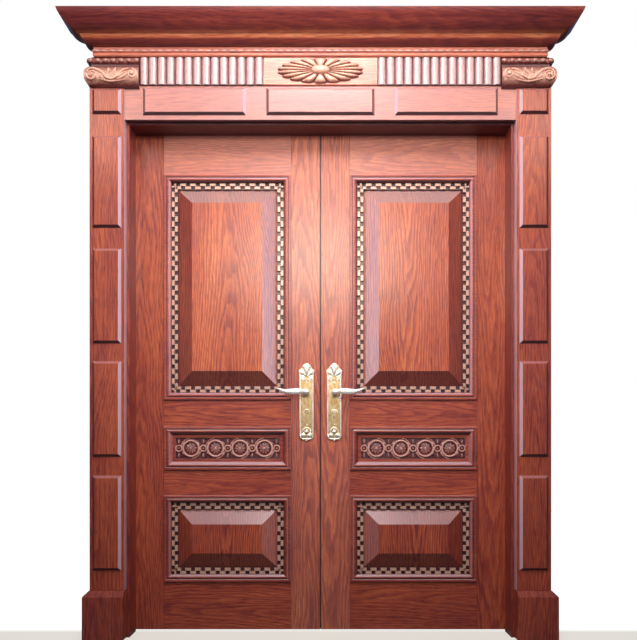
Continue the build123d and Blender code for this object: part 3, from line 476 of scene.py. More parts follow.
def curve_shading():
    """Node group that welds a mesh, shades it smoothly and leaves its real edges sharp."""
    group = bpy.data.node_groups.new("soft_curves", "GeometryNodeTree")
    for in_out in ("INPUT", "OUTPUT"):
        group.interface.new_socket("Geometry", in_out=in_out, socket_type="NodeSocketGeometry")
    start = group.nodes.new("NodeGroupInput")
    weld = group.nodes.new("GeometryNodeMergeByDistance")
    weld.inputs["Distance"].default_value = WELD_DISTANCE
    rounded = group.nodes.new("GeometryNodeSetShadeSmooth")
    edge_angle = group.nodes.new("GeometryNodeInputMeshEdgeAngle")
    sharp = group.nodes.new("FunctionNodeCompare")
    sharp.data_type = "FLOAT"
    sharp.operation = "GREATER_THAN"
    sharp.inputs[1].default_value = CREASE_ANGLE
    creased = group.nodes.new("GeometryNodeSetShadeSmooth")
    creased.domain = "EDGE"
    creased.inputs["Shade Smooth"].default_value = False
    end = group.nodes.new("NodeGroupOutput")
    for source, target in (
        (start.outputs[0], weld.inputs[0]), (weld.outputs[0], rounded.inputs[0]),
        (edge_angle.outputs["Unsigned Angle"], sharp.inputs[0]), (rounded.outputs[0], creased.inputs[0]),
        (sharp.outputs[0], creased.inputs["Selection"]), (creased.outputs[0], end.inputs[0]),
    ):
        group.links.new(source, target)
    return group


def soften(name, shading):
    """Shade the curved faces of a node smoothly."""
    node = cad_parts[name]
    node.modifiers.new("soft_curves", "NODES").node_group = shading
    node.modifiers.new("even_normals", "WEIGHTED_NORMAL").keep_sharp = True


def ease_edges(name):
    """Round a board's arrises a little, as sanding leaves them."""
    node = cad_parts[name]
    node.modifiers.new("weld", "WELD").merge_threshold = WELD_DISTANCE
    rounding = node.modifiers.new("eased_edges", "BEVEL")
    rounding.width = EASED_WIDTH
    rounding.segments = 2
    rounding.limit_method = "ANGLE"
    rounding.angle_limit = EASED_ANGLE
    rounding.harden_normals = True


# Mesh pieces, from points in millimetres along the wall, in depth and up
CORNERS = ((-1, -1), (1, -1), (1, 1), (-1, 1))


class Form:
    """A mesh being put together from several closed shells."""

    def __init__(self):
        self.points = []
        self.faces = []

    def add(self, points, faces):
        start = len(self.points)
        self.points.extend(points)
        self.faces.extend([tuple(start + corner for corner in face) for face in faces])

    def relief(self, x, q, z, back_q):
        """A carved slab: a grid of points for its face and a flat back of the same outline."""
        rows, columns = x.shape
        index = np.arange(rows * columns).reshape(rows, columns)
        faces = grid_faces(index)
        rim = np.concatenate([index[0, :-1], index[:-1, -1], index[-1, :0:-1], index[:0:-1, 0]])
        points = np.stack([x.ravel(), q.ravel(), z.ravel()], 1)
        back = points[rim].copy()
        back[:, 1] = back_q
        count = len(rim)
        foot = rows * columns + np.arange(count)
        faces += [(rim[i], rim[(i + 1) % count], foot[(i + 1) % count], foot[i]) for i in range(count)]
        faces.append(tuple(foot[::-1]))
        self.add(np.concatenate([points, back]).tolist(), faces)

    def rings(self, rings):
        """A closed shell through rings of points, one after the other, capped at both ends."""
        rings = np.asarray(rings, float)
        count, sides = rings.shape[:2]
        index = np.arange(count * sides).reshape(count, sides)
        faces = grid_faces(np.concatenate([index, index[:, :1]], 1))
        faces.append(tuple(index[0][::-1]))
        faces.append(tuple(index[-1]))
        self.add(rings.reshape(-1, 3).tolist(), faces)

    def tube(self, path, radii, flatness, sides=10):
        """A flattened cord of carving along a path, closed at both ends."""
        ahead = np.gradient(path, axis=0)
        ahead /= np.linalg.norm(ahead, axis=1)[:, None]
        out = np.array([0.0, 1.0, 0.0])
        across = np.cross(ahead, out)
        across /= np.linalg.norm(across, axis=1)[:, None]
        turn = np.linspace(0, 2 * pi, sides, endpoint=False)
        self.rings([
            point + radius * (np.cos(turn)[:, None] * side + flatness * np.sin(turn)[:, None] * out)
            for point, side, radius in zip(path, across, radii)
        ])

    def bead(self, centre, half, sides=12, levels=7):
        """An ellipsoid with its poles towards the front and the back."""
        rings = []
        for level in range(1, levels + 1):
            polar = pi * level / (levels + 1)
            rings.append([
                (
                    centre[0] + half[0] * sin(polar) * cos(2 * pi * k / sides),
                    centre[1] + half[1] * cos(polar),
                    centre[2] + half[2] * sin(polar) * sin(2 * pi * k / sides),
                )
                for k in range(sides)
            ])
        self.rings(rings)

    def block(self, x_edges, q_edges, z_edges, round_in=2.0):
        """A squared block whose front edges are rounded off."""
        low_x, high_x = x_edges
        low_z, high_z = z_edges
        back, front = q_edges
        rings = []
        for inset_share, depth_share in ((0, 0), (0, 0.55), (0.4, 0.85), (1, 1)):
            inset = round_in * inset_share
            q = back + (front - back) * depth_share
            rings.append([
                (low_x + inset, q, low_z + inset), (high_x - inset, q, low_z + inset),
                (high_x - inset, q, high_z - inset), (low_x + inset, q, high_z - inset),
            ])
        self.rings(rings)

    def piece(self, name, material, body, replaced=(), sharp_angle=40.0):
        """Finish the mesh as one piece that rides on a body."""
        points = np.array(self.points, float)
        metres = np.stack([points[:, 0] * MM, depth_y(points[:, 1]), points[:, 2] * MM], 1)
        mesh = bpy.data.meshes.new(name)
        mesh.from_pydata(metres.tolist(), [], self.faces)
        work = bmesh.new()
        work.from_mesh(mesh)
        bmesh.ops.recalc_face_normals(work, faces=work.faces)
        work.to_mesh(mesh)
        work.free()
        mesh.shade_smooth()
        mesh.set_sharp_from_angle(angle=radians(sharp_angle))
        mesh.materials.append(material)
        piece = bpy.data.objects.new(name, mesh)
        bpy.context.scene.collection.objects.link(piece)
        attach(piece, body)
        if replaced:
            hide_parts(*replaced)
        return piece


def grid_faces(index):
    """Quads between neighbouring rows and columns of point numbers."""
    corners = np.stack([index[:-1, :-1], index[:-1, 1:], index[1:, 1:], index[1:, :-1]], -1)
    return [tuple(face) for face in corners.reshape(-1, 4).tolist()]


def dome(distance, half_width):
    """Round section: 1 on the middle line, 0 at the half width and beyond."""
    return np.sqrt(np.clip(1 - (distance / half_width) ** 2, 0, None))


def roll(distance, middle, half_width, rise):
    """Height of a rounded roll, whose middle line lies at one distance from its centre."""
    return rise * dome(distance - middle, half_width)


# Dentil ribbons: blocks in two rows, half a pitch apart, that meet in a square wave
DENTIL_PITCH = 42.0
BLOCK_HALF_SHARE = 0.31
ROW_INSETS = (37.4, 50.6)
ROW_HALF_WIDTH = 6.9
RIBBON_DEPTHS = (-15.2, -6.3)


def ribbon(side, moulding, body):
    """Blocks of one opening's dentil ribbon."""
    x_limits, _, z_limits = box_mm(f"{side}_{moulding}")
    middles = [sum(limits) / 2 for limits in (x_limits, z_limits)]
    halves = [(high - low) / 2 for low, high in (x_limits, z_limits)]
    form = Form()
    for run_axis, cross_axis in ((0, 1), (1, 0)):
        half_run = halves[run_axis] - ROW_INSETS[0]
        count = round(2 * half_run / DENTIL_PITCH)
        step = 2 * half_run / count
        half_block = step * BLOCK_HALF_SHARE
        for row, inset in enumerate(ROW_INSETS):
            reach = halves[cross_axis] - inset
            for number in range(count + 1 - row):
                along = (number + 0.5 * row) * step - half_run
                low = max(along - half_block, -half_run - ROW_HALF_WIDTH)
                high = min(along + half_block, half_run + ROW_HALF_WIDTH)
                for sign in (-1, 1):
                    across = (sign * reach - ROW_HALF_WIDTH, sign * reach + ROW_HALF_WIDTH)
                    ends = ((low, high), across) if run_axis == 0 else (across, (low, high))
                    x_edges, z_edges = ([middle + end for end in pair] for middle, pair in zip(middles, ends))
                    form.block(x_edges, RIBBON_DEPTHS, z_edges)
    form.piece(f"{side}_{moulding}_ribbon", ribbon_oak, body)


# Carved panels: four ringed rosettes, five small roundels and sprays of leaves in a sunk field
CARVING_HALF_LENGTH = 220.0
CARVING_HALF_HEIGHT = 45.0
CARVING_POINTS = (295, 61)
CARVING_FLOOR = -17.0
PANEL_FACE = -8.0
PANEL_TONGUE = 11.0
# Loops round the panel's body: how far inside the edge of its border they lie, and how deep
PANEL_LOOPS = (
    (0, PANEL_FACE), (0, -22), (-PANEL_TONGUE, -22), (-PANEL_TONGUE, -38), (28, -38), (28, -39), (83, -58),
)
# Rolls of the carving, as roll takes them
RING_SPACING = 103.0
RING_ROLL = (33.0, 5.2, 12.0)
ROSETTE_ROLL = (0.0, 26.0, 8.5)
EYE_ROLL = (0.0, 5.0, 10.5)
EYE_EDGE = 6
ARC_ROLL = (42.5, 3.4, 9.0)
ROUNDEL_ROLL = (12.5, 4.2, 10.5)
KNOB_ROLL = (0.0, 5.2, 10.0)
# Arcs outside a ring, by the turn of their middle and half their sweep, and leaves round a roundel
ARC_TURNS = (0.85, 0.85 + pi)
ARC_HALF_SWEEP = 0.62
LEAF_LEANS = (-0.75, 0.0, 0.75)
LEAF_REACH = 29
LEAF_HALF_LENGTH = 12.0
LEAF_HALF_WIDTH = 4.6
LEAF_RISE = 9.0


def guilloche_height(u, v):
    """Height of the carving above its sunk floor, u along and v up from the panel's middle."""
    forms = [1.2 + 0.5 * np.sin(u * 0.9) * np.sin(v * 1.1)]
    for k in range(4):
        along = u - (k - 1.5) * RING_SPACING
        radius = np.hypot(along, v)
        angle = np.arctan2(v, along)
        petals = np.where(radius > EYE_EDGE, 0.78 + 0.22 * np.cos(angle * 10), 1)
        forms += [roll(radius, *RING_ROLL), roll(radius, *ROSETTE_ROLL) * petals, roll(radius, *EYE_ROLL)]
        for turn in ARC_TURNS:
            swing = np.abs((angle - turn + pi) % (2 * pi) - pi)
            forms.append(roll(radius, *ARC_ROLL) * (swing < ARC_HALF_SWEEP))
    for k in range(5):
        along = u - (k - 2) * RING_SPACING
        radius = np.hypot(along, v)
        forms += [roll(radius, *ROUNDEL_ROLL), roll(radius, *KNOB_ROLL)]
        for up in (-1, 1):
            for lean in LEAF_LEANS:
                lengthwise = along * sin(lean) + up * v * cos(lean) - LEAF_REACH
                across = along * cos(lean) - up * v * sin(lean)
                inside = 1 - (lengthwise / LEAF_HALF_LENGTH) ** 2 - (across / LEAF_HALF_WIDTH) ** 2
                forms.append(LEAF_RISE * np.sqrt(np.clip(inside, 0, None)))
    return np.maximum.reduce(forms)


def carved_panel(side, sign, body):
    """The whole carved panel: carving, flat border, tongue and the plain field on its back."""
    name = f"{side}_carved_panel"
    x_limits, _, z_limits = box_mm(name)
    middle_x = sum(x_limits) / 2
    middle_z = sum(z_limits) / 2
    half_x = (x_limits[1] - x_limits[0]) / 2 - PANEL_TONGUE
    half_z = (z_limits[1] - z_limits[0]) / 2 - PANEL_TONGUE
    columns, rows = CARVING_POINTS
    u, v = np.meshgrid(
        np.linspace(-CARVING_HALF_LENGTH, CARVING_HALF_LENGTH, columns),
        np.linspace(-CARVING_HALF_HEIGHT, CARVING_HALF_HEIGHT, rows),
    )
    edge = np.minimum(CARVING_HALF_LENGTH - np.abs(u), CARVING_HALF_HEIGHT - np.abs(v))
    q = np.where(edge < 0.5, PANEL_FACE, CARVING_FLOOR + guilloche_height(u * sign, v))
    index = np.arange(rows * columns).reshape(rows, columns)
    points = np.stack([middle_x + u.ravel(), q.ravel(), middle_z + v.ravel()], 1).tolist()
    faces = grid_faces(index)
    carved_faces = len(faces)
    loops = []
    for inset, depth in PANEL_LOOPS:
        loops.append(list(range(len(points), len(points) + len(CORNERS))))
        for corner_x, corner_z in CORNERS:
            x = middle_x + corner_x * (half_x - inset)
            points.append((x, depth, middle_z + corner_z * (half_z - inset)))
    for k, border in enumerate((index[0, :], index[:, -1], index[-1, ::-1], index[::-1, 0])):
        faces.append(tuple(border.tolist()[::-1]) + (loops[0][k], loops[0][(k + 1) % 4]))
    for first, second in zip(loops, loops[1:]):
        for k in range(4):
            faces.append((first[k], first[(k + 1) % 4], second[(k + 1) % 4], second[k]))
    faces.append(tuple(loops[-1]))
    form = Form()
    form.add(points, faces)
    carving = form.piece(f"{side}_carving", guilloche_oak, body, (name,), 50)
    carving.data.materials.append(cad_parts[name].data.materials[0])
    for face in carving.data.polygons[carved_faces:]:
        face.material_index = 1


# Rosette: eighteen round petals and an oval boss
PETALS = 18
PETAL_POINTS = 14
PETAL_EDGE = 1.5
PETAL_RISE = 14.5
PETAL_SHOULDER = 0.7
PETAL_FALL = 0.306
ROSETTE_HALF = (173.0, 51.0)
ROSETTE_Z = 2281.0
TABLET_Q = 163.0


def rosette():
    """Petals and boss of the oval rosette on the frieze's tablet."""
    round_tip = 0.9 + 0.1 * np.sin(np.linspace(0.15, 1, 8) * pi / 2)
    levels = np.concatenate([np.linspace(0.14, 0.9, 24), round_tip])
    angle = np.linspace(0, 2 * pi, PETALS * PETAL_POINTS, endpoint=False)
    share = (angle / (2 * pi) * PETALS) % 1 * 2 - 1
    crown = np.sqrt(np.clip(1 - share ** 2, 0, 1))
    outline = 0.87 + 0.13 * crown
    rings = []
    for level in levels:
        rise = 0.45 + 0.55 * sin(pi / 2 * min(level / PETAL_SHOULDER, 1))
        fall = float(dome(max(level - PETAL_SHOULDER, 0), PETAL_FALL))
        x = ROSETTE_HALF[0] * outline * level * np.cos(angle)
        z = ROSETTE_Z + ROSETTE_HALF[1] * outline * level * np.sin(angle)
        q = TABLET_Q + (PETAL_EDGE + PETAL_RISE * crown ** 0.8 * rise * fall)
        rings.append(np.stack([x, q, z], 1))
    foot = rings[-1].copy()
    foot[:, 1] = TABLET_Q - 0.5
    rings.append(foot)
    form = Form()
    form.rings(rings)
    form.bead((0, TABLET_Q + 12, ROSETTE_Z), (37, 17, 18.5), 28, 11)
    form.piece("rosette_carving", rosette_oak, "frame", ("rosette",), 55)


# Reeds of the frieze, rounder than the part's own
REED_COUNT = 14
REED_STEPS = 12
REED_X = (228.0, 726.0)
REED_Z = (2227.0, 2336.0)
REED_BACK = 150.0
REED_GROUND = 154.0
REED_RISE = 11.8


def reeding():
    """Round reeds over both ribbed stretches of the frieze."""
    share = np.arange(REED_COUNT * REED_STEPS + 1) / REED_STEPS
    q = REED_GROUND + REED_RISE * np.sin(np.arccos(np.clip(1 - 2 * (share % 1), -1, 1)))
    for side, sign in SIDES:
        x = sign * (REED_X[0] + share / REED_COUNT * (REED_X[1] - REED_X[0]))
        form = Form()
        z = np.stack([np.full_like(x, level) for level in REED_Z])
        form.relief(np.stack([x, x]), np.stack([q, q]), z, REED_BACK)
        form.piece(f"{side}_reeding", reed_oak, "frame", (), 50)


# Beads along the bed moulding
BED_BEAD_PITCH = 32.0
BED_BEADS_A_SIDE = 28
BED_BEAD_Z = 2358.0
BED_FRONT_Q = 173.2
BED_RETURN = (912.2, 146.0)


def bed_beads():
    """Long low beads along the bed moulding's front and its two returns."""
    form = Form()
    for number in range(-BED_BEADS_A_SIDE, BED_BEADS_A_SIDE + 1):
        form.bead((number * BED_BEAD_PITCH, BED_FRONT_Q, BED_BEAD_Z), (11.0, 4.0, 4.4), 12, 5)
    for side, sign in SIDES:
        form.bead((sign * BED_RETURN[0], BED_RETURN[1], BED_BEAD_Z), (4.0, 11.0, 4.4), 12, 7)
    form.piece("bed_beads", reed_oak, "frame")


# Capitals, as on the right: a swelling block from the reeds to its side, and the carving in front of it
CAPITAL_FRONT = 158.0
CAPITAL_SIDE = 911.0
CAPITAL_FOOT = 2212.0
CAPITAL_TOP = 2336.0
CAPITAL_BACK_Q = 121
CAPITAL_STEP = (885, 140)
SWELL_ARC = ((0, CAPITAL_FOOT), (33, 2258), (8, 2298))
ASTRAGAL_ARC = ((9, 2305), (19, 2318), (9, 2331))
CARVING_Q = CAPITAL_FRONT + 30
ASTRAGAL_BEAD_Q = CAPITAL_FRONT + 17.5
ASTRAGAL_BEAD_X = CAPITAL_SIDE + 17.5
ASTRAGAL_Z = 2318
# Volutes: X and height of the eye, outer radius, turns, and the sense in which they wind
VOLUTES = (((911, 2257), 25, 1.6, -1), ((752, 2261), 19, 1.5, 1))
VOLUTE_CLOSING = 0.80
# Leaf scrolls: X and height of their points, radii along them, and depth against the volutes
STRANDS = (
    (
        (
            (911, 2282), (888, 2276), (868, 2262), (853, 2247), (830, 2241), (806, 2257), (786, 2275),
            (762, 2280),
        ),
        (5, 6, 7, 7, 7, 6, 5, 4), 1,
    ),
    (((893, 2243), (866, 2237), (836, 2231), (800, 2234), (770, 2240)), (3, 5, 5, 4, 3), -2),
    (((824, 2243), (800, 2254), (777, 2268)), (3, 5, 3), 3),
    (((808, 2238), (786, 2249), (764, 2262)), (3, 5, 3), 2),
    (((830, 2254), (822, 2268), (812, 2284)), (3, 6, 3), 1),
    (((850, 2262), (843, 2272), (846, 2284)), (6, 9, 4), 0),
    (((884, 2256), (873, 2247), (860, 2241)), (4, 5, 3), 0),
)


def arc_through(first, middle, last, steps):
    """Points of the circular arc through three points of a plane."""
    (ax, ay), (bx, by), (cx, cy) = first, middle, last
    scale = 2 * (ax * (by - cy) + bx * (cy - ay) + cx * (ay - by))
    squares = [x * x + y * y for x, y in (first, middle, last)]
    ox = (squares[0] * (by - cy) + squares[1] * (cy - ay) + squares[2] * (ay - by)) / scale
    oy = (squares[0] * (cx - bx) + squares[1] * (ax - cx) + squares[2] * (bx - ax)) / scale
    start = np.arctan2(ay - oy, ax - ox)
    sweep = (np.arctan2(cy - oy, cx - ox) - start + pi) % (2 * pi) - pi
    radius = np.hypot(ax - ox, ay - oy)
    angles = start + sweep * np.linspace(0, 1, steps)
    return [(ox + radius * np.cos(a), oy + radius * np.sin(a)) for a in angles]


def volute(centre, start_radius, turns, winding):
    """Points of a volute that winds in from its top to its eye."""
    share = np.linspace(0, 1, int(26 * turns))
    radius = start_radius * (1 - VOLUTE_CLOSING * share)
    angle = 0.5 * pi + winding * 2 * pi * turns * share
    x = centre[0] + radius * np.cos(angle)
    z = centre[1] + radius * np.sin(angle)
    return np.stack([x, CARVING_Q + 5 * share, z], 1)


def smooth_path(points, steps=9):
    """Catmull-Rom curve through a few points."""
    points = np.asarray(points, float)
    padded = np.concatenate([[2 * points[0] - points[1]], points, [2 * points[-1] - points[-2]]])
    path = []
    for k in range(len(points) - 1):
        before, start, end, after = padded[k:k + 4]
        for share in np.linspace(0, 1, steps, endpoint=False):
            path.append(0.5 * (
                2 * start + (end - before) * share
                + (2 * before - 5 * start + 4 * end - after) * share ** 2
                + (3 * start - before - 3 * end + after) * share ** 3
            ))
    path.append(points[-1])
    return np.array(path)


def capital(side, sign):
    """Swelling block, astragal with its beads, two volutes and the scrolled leaf between them."""
    profile = arc_through(*SWELL_ARC, 18) + arc_through(*ASTRAGAL_ARC, 10) + [(4, CAPITAL_TOP)]
    rings = []
    for projection, z in profile:
        outline = (
            (REED_X[1], CAPITAL_FRONT + projection), (CAPITAL_SIDE + projection, CAPITAL_FRONT + projection),
            (CAPITAL_SIDE + projection, CAPITAL_BACK_Q), (CAPITAL_STEP[0], CAPITAL_BACK_Q), CAPITAL_STEP,
            (REED_X[1], CAPITAL_STEP[1]),
        )
        rings.append([(sign * x, q, z) for x, q in outline])
    form = Form()
    form.rings(rings)
    for centre, start_radius, turns, winding in VOLUTES:
        path = volute(centre, start_radius, turns, winding)
        path[:, 0] *= sign
        form.tube(path, np.linspace(5.0, 3.2, len(path)), 0.9)
        form.bead((sign * centre[0], CARVING_Q + 6, centre[1]), (7, 5, 7))
    for points, radii, depth in STRANDS:
        path = smooth_path([(sign * x, CARVING_Q + depth, z) for x, z in points])
        radii = np.interp(np.linspace(0, 1, len(path)), np.linspace(0, 1, len(radii)), radii)
        form.tube(path, radii, 0.8)
    for number in range(7):
        form.bead((sign * (735 + 31 * number), ASTRAGAL_BEAD_Q, ASTRAGAL_Z), (12.5, 8, 9.5))
    form.bead((sign * ASTRAGAL_BEAD_X, CAPITAL_STEP[1], ASTRAGAL_Z), (8, 12.5, 9.5))
    form.bead((sign * ASTRAGAL_BEAD_X, CAPITAL_FRONT + 8, ASTRAGAL_Z), (8, 10, 9.5))
    form.piece(f"{side}_capital_carving", capital_oak, "frame", (f"{side}_capital",), 45)


# Backplates: height and half width of their outline's points, and the heights of what is on them
FURNITURE_X = 58.0
PLATE_OUTLINE = (
    (804, 8), (806, 17), (810, 25), (814, 28.5), (818, 30), (826, 30), (1078, 30), (1090, 32), (1094, 33),
    (1097, 31), (1102, 24), (1108, 20.5), (1113, 18.5), (1118, 15), (1122, 9.5), (1124.5, 5.5), (1126, 1.5),
)
PLATE_POINTS = (71, 330)
EDGE_Q = 5.5
RIM_Q = 5.6
FACE_Q = 6
HOOD_Q = 4
FOOT_LOBE_Z = 822
FLOWER_Z = 838
HOOD_Z = 918
SCROLL_Z = 1060
SCROLL_X = 14
SHELL_Z = 1066
PLATE_BEAD_X = 26.5
PLATE_BEAD_HEIGHTS = (979, 993, 1018, 1034)
SCREW_HEIGHTS = (1044, 868)
SCREW_DEPTHS = (6.0, -67.5)
# Rolls on the backplates, as roll takes them
RIM_ROLL = (3.0, 3.2, 2.6)
SHELL_ROLL = (30, 24, 3.2)
SCROLL_ROLL = (7, 3, 3.4)
FOOT_LOBE_ROLL = (0, 11, 4.0)
FLOWER_ROLL = (0, 9, 4.6)
ARCH_ROLL = (16, 3, 3.0)
HOOD_ROLL = (12, 3, 4.2)


def front_plate(side, sign, body):
    """Cast backplate: rolled rims with beads, a ribbed shell, scrolls, a hood, and a flower at the foot."""
    heights, half_widths = zip(*PLATE_OUTLINE)
    columns, rows = PLATE_POINTS
    levels = np.linspace(heights[0], heights[-1], rows)
    share = np.linspace(-1, 1, columns)
    share = np.sign(share) * (1 - (1 - np.abs(share)) ** 1.15)
    half = np.interp(levels, heights, half_widths)[:, None]
    x = share[None, :] * half
    z = np.repeat(levels[:, None], columns, 1)
    edge = np.minimum(half - np.abs(x), np.minimum(z - heights[0], heights[-1] - z) * 0.9)
    angle = np.arctan2(x, z - SHELL_Z)
    ribs = np.abs(np.cos(angle * 4)) ** 0.6 * (np.abs(angle) < 1.35)
    flower = np.hypot(x, z - FLOWER_Z)
    hood = np.hypot(x, z - HOOD_Z)
    raised = [
        (edge >= 0.6, RIM_Q + roll(edge, *RIM_ROLL)),
        (edge > 4, FACE_Q + roll(np.hypot(x, z - SHELL_Z), *SHELL_ROLL) * ribs),
        (flower < 9, FACE_Q + roll(flower, *FLOWER_ROLL)),
        (z > FLOWER_Z, FACE_Q + roll(flower, *ARCH_ROLL)),
        (z > HOOD_Z - 2, HOOD_Q + roll(hood, *HOOD_ROLL)),
    ]
    for lobe_x in (-SCROLL_X, SCROLL_X):
        scroll = np.hypot(x - lobe_x, z - SCROLL_Z)
        lobe = np.hypot(x - lobe_x * 1.05, z - FOOT_LOBE_Z)
        raised += [
            (edge > 3, FACE_Q + roll(scroll, *SCROLL_ROLL)),
            (scroll < 3.5, 9.0),
            (edge > 1, EDGE_Q + roll(lobe, *FOOT_LOBE_ROLL)),
        ]
    q = np.maximum.reduce([np.where(inside, level, EDGE_Q) for inside, level in raised])
    form = Form()
    form.relief(sign * FURNITURE_X + x, q, z, 0.0)
    for bead_z in PLATE_BEAD_HEIGHTS:
        for bead_x in (-PLATE_BEAD_X, PLATE_BEAD_X):
            form.bead((sign * FURNITURE_X + bead_x, 8.4, bead_z), (3.2, 2.6, 4.2))
    form.bead((sign * FURNITURE_X, 4.2, 801.5), (4.6, 4.0, 4.6))
    form.piece(f"{side}_cast_plate", backplate_brass, body, (f"{side}_front_plate",), 40)


def screws(side, sign, body):
    """Domed screws that hold the backplates, front and back."""
    form = Form()
    for z in SCREW_HEIGHTS:
        for q in SCREW_DEPTHS:
            form.bead((sign * FURNITURE_X, q, z), (3.6, 2.4, 3.6), 16, 7)
    form.piece(f"{side}_plate_screws", lever_brass, body)


# Levers. Stations of the handle: reach, rise of its middle, half height, half depth and depth of its middle.
LEVER_Z = 1004.0
LEAF_BACK_Q = -60
BACK_LEVER_DEPTH = 60.98
LEVER_SIDES = 28
LEVER_RINGS = 76
LEVER_STATIONS = (
    (-10.5, 0, 2, 2, 53), (-8, 0, 8, 6, 53), (-3, 0, 11, 7.5, 53.5), (3, 0, 11.2, 7.6, 53.5),
    (10, 0.4, 9.3, 7, 54), (16, 0.6, 8.6, 6.6, 54), (24, 0.6, 10.5, 7, 54), (34, 0.4, 13, 7.2, 53.6),
    (50, 0, 13.6, 7.3, 53.4), (66, -0.6, 12.8, 7.2, 53.3), (80, -0.4, 10.2, 6.8, 53), (90, 1, 8, 6.4, 52.6),
    (99, 3, 6.6, 6, 52.3), (108, 6.4, 5.6, 5.5, 52.3), (115, 10, 4.4, 4.8, 52.4), (119, 12.5, 2.4, 3, 52.6),
    (120.6, 13.4, 0.8, 1, 52.8),
)
# Depth and radius along the turned neck, and the square spindle through the leaf
NECK_STATIONS = (
    (7.6, 9), (7.6, 13.5), (9.6, 13.8), (11, 12), (13, 10.2), (17, 9.2), (40, 8.6), (48, 9.6), (52, 9),
)
SPINDLE_HALF = 4.0
SPINDLE_DEPTHS = (-100.0, 10.0)


def lever(side, sign, where):
    """Cast lever: a turned neck and a swelling handle with leaves chased on it; where is front or back.

    The back lever mirrors the front one behind the leaf and stays within the part's depth. The front one
    carries the spindle.
    """
    def depth(q):
        return q if where == "front" else LEAF_BACK_Q - min(q, BACK_LEVER_DEPTH)

    axis_x = sign * FURNITURE_X
    turn = np.linspace(0, 2 * pi, LEVER_SIDES, endpoint=False)
    stations = np.array(LEVER_STATIONS, float)
    fine = np.linspace(0, len(stations) - 1, LEVER_RINGS)
    columns = [np.interp(fine, np.arange(len(stations)), column) for column in stations.T]
    rings = []
    for reach, rise, half_height, half_depth, middle_q in zip(*columns):
        leaf = 1 - 0.07 * np.abs(np.sin(turn * 3 + reach * 0.12)) * (18 < reach < 92)
        rings.append([
            (
                sign * (FURNITURE_X + reach),
                depth(middle_q + half_depth * sin(a) * swell),
                LEVER_Z + rise + half_height * cos(a) * swell,
            )
            for a, swell in zip(turn, leaf)
        ])
    form = Form()
    form.rings(rings)
    form.rings([
        [(axis_x + radius * cos(a), depth(q), LEVER_Z + radius * sin(a)) for a in turn]
        for q, radius in NECK_STATIONS
    ])
    if where == "front":
        form.rings([
            [(axis_x + SPINDLE_HALF * a, q, LEVER_Z + SPINDLE_HALF * b) for a, b in CORNERS]
            for q in SPINDLE_DEPTHS
        ])
    form.piece(f"{side}_{where}_cast_lever", lever_brass, f"{side}_lever", (f"{side}_{where}_lever",), 50)


# Seals in the gap between the leaves: limits in X and in depth, and distance from the leaf's ends
SEALS = {"left": ((-1.9, 0.25), (-9.0, -3.0)), "right": ((0.05, 2.3), (-20.0, -14.0))}
SEAL_END_GAP = 0.5
SEAL_COLOURS = ((0.010, 0.005, 0.005), (0.022, 0.010, 0.010))


def meeting_seals():
    """Dark brush seals in the gap between the leaves, one behind the other."""
    material, surface = shader("seal_pile", (0.012, 0.006, 0.006), 0.9)
    nodes = Nodes(material)
    pile = nodes.noise(nodes.space, (900, 900, 900))
    nodes.link(nodes.mix(pile, *SEAL_COLOURS), surface.inputs["Base Color"])
    _, _, (foot, head) = box_mm("left_meeting_stile")
    for side, (across, depths) in SEALS.items():
        form = Form()
        form.block(across, depths, (foot + SEAL_END_GAP, head - SEAL_END_GAP), 0.1)
        form.piece(f"{side}_meeting_seal", material, f"{side}_leaf")


# Stage, light and camera. Soft boxes: place, point aimed at, size, power, colour and spread of the beam.
FLOOR_SIZE = 14
AMBIENT_STRENGTH = 0.125
AMBIENT_TINT = (0.74, 0.90, 1.55)
FRONT_LIGHTS = (
    ("key", (0, -2.1, 3.45), (0, 0, 2.0), (0.9, 0.7), 17, (1.0, 0.97, 0.95), 95),
    ("front_fill", (0, -4.6, 2.6), (0, 0, 2.0), (1.6, 0.8), 11.5, (1.0, 0.88, 0.72), 60),
    ("canopy", (0, -1.3, 3.45), (0, 0, 1.7), (1.8, 0.25), 9.0, (0.78, 0.78, 1.0), 120),
)
SIDE_LIGHTS = (
    ("strip", (1.7, -1.25, 1.9), (-0.35, 0, 1.75), (0.35, 1.8), 3.6, (0.74, 0.76, 1.0), 55),
    ("corner", (1.6, -2.4, 3.0), (0.8, 0, 1.9), (0.6, 0.6), 2.4, (1.0, 0.80, 0.66), 80),
)
BACK_LIGHT = ("back_fill", (0, 4.0, 2.2), (0, 0, 1.2), (3.0, 2.0), 30, (1.0, 0.99, 0.97), 120)


def backdrop():
    """Pale floor under the door."""
    bpy.ops.mesh.primitive_plane_add(size=FLOOR_SIZE, location=(0, 0, 0))
    floor = bpy.context.object
    floor.name = "studio_floor"
    paint(floor, floor_paint())


def area_light(name, location, target, size, power, colour, spread):
    """Rectangular soft box aimed at a point, with a grid that narrows its beam to the spread in degrees."""
    data = bpy.data.lights.new(name, "AREA")
    data.shape = "RECTANGLE"
    data.size, data.size_y = size
    data.energy = power
    data.spread = radians(spread)
    data.color = colour
    light = bpy.data.objects.new(name, data)
    light.location = location
    light.rotation_euler = (Vector(target) - Vector(location)).to_track_quat("-Z", "Y").to_euler()
    bpy.context.scene.collection.objects.link(light)


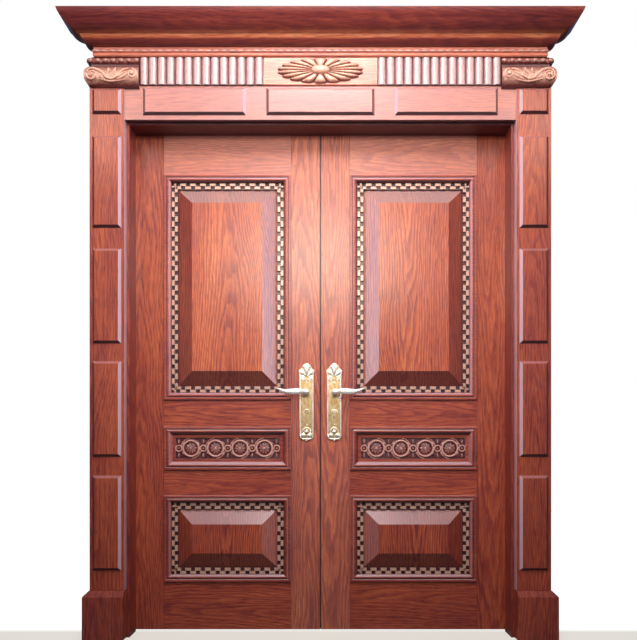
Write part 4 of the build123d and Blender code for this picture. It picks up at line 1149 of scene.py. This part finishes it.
def studio():
    """White surroundings for the camera, dimmer for the light they give, and soft boxes."""
    world = bpy.data.worlds.new("studio_world")
    bpy.context.scene.world = world
    world.use_nodes = True
    background = world.node_tree.nodes["Background"]
    nodes = Nodes(world)
    seen = nodes.add("ShaderNodeLightPath").outputs["Is Camera Ray"]
    nodes.link(nodes.mix(seen, AMBIENT_TINT, WHITE), background.inputs["Color"])
    nodes.link(nodes.spread(seen, 0, 1, AMBIENT_STRENGTH, 1.0), background.inputs["Strength"])
    for light in FRONT_LIGHTS:
        area_light(*light)
    for side, sign in SIDES:
        for name, (x, y, z), (target_x, target_y, target_z), *beam in SIDE_LIGHTS:
            area_light(f"{side}_{name}", (sign * x, y, z), (sign * target_x, target_y, target_z), *beam)
    area_light(*BACK_LIGHT)


def photograph_camera():
    """Level camera at the photograph's viewpoint, shifted up to its framing as its lens was."""
    data = bpy.data.cameras.new("photo_camera")
    data.sensor_width = SENSOR_MM
    data.lens = FOCAL_PX * SENSOR_MM / PHOTO_HEIGHT_PX
    data.shift_y = (HORIZON_PX - PHOTO_HEIGHT_PX / 2) / PHOTO_HEIGHT_PX
    data.shift_x = (PHOTO_WIDTH_PX / 2 - CENTRE_X_PX) / PHOTO_HEIGHT_PX
    camera = bpy.data.objects.new("photo_camera", data)
    camera.location = (0, LEAF_FACE_Y - CAMERA_DISTANCE, CAMERA_HEIGHT)
    camera.rotation_euler = (pi / 2, 0, 0)
    bpy.context.scene.collection.objects.link(camera)
    bpy.context.scene.camera = camera


finish_nodes()
shading = curve_shading()
for curved in ("cornice", "bed_moulding"):
    soften(curved, shading)
ease_edges("head_casing")
for side, sign in SIDES:
    leaf = f"{side}_leaf"
    ease_edges(f"{side}_pilaster")
    ease_edges(f"{side}_plinth")
    for moulding in ("upper_moulding", "lower_moulding"):
        ribbon(side, moulding, leaf)
    carved_panel(side, sign, leaf)
    capital(side, sign)
    front_plate(side, sign, leaf)
    screws(side, sign, leaf)
    for where in ("front", "back"):
        lever(side, sign, where)
rosette()
reeding()
bed_beads()
meeting_seals()

backdrop()
studio()
photograph_camera()
bpy.context.scene.view_settings.view_transform = "Standard"
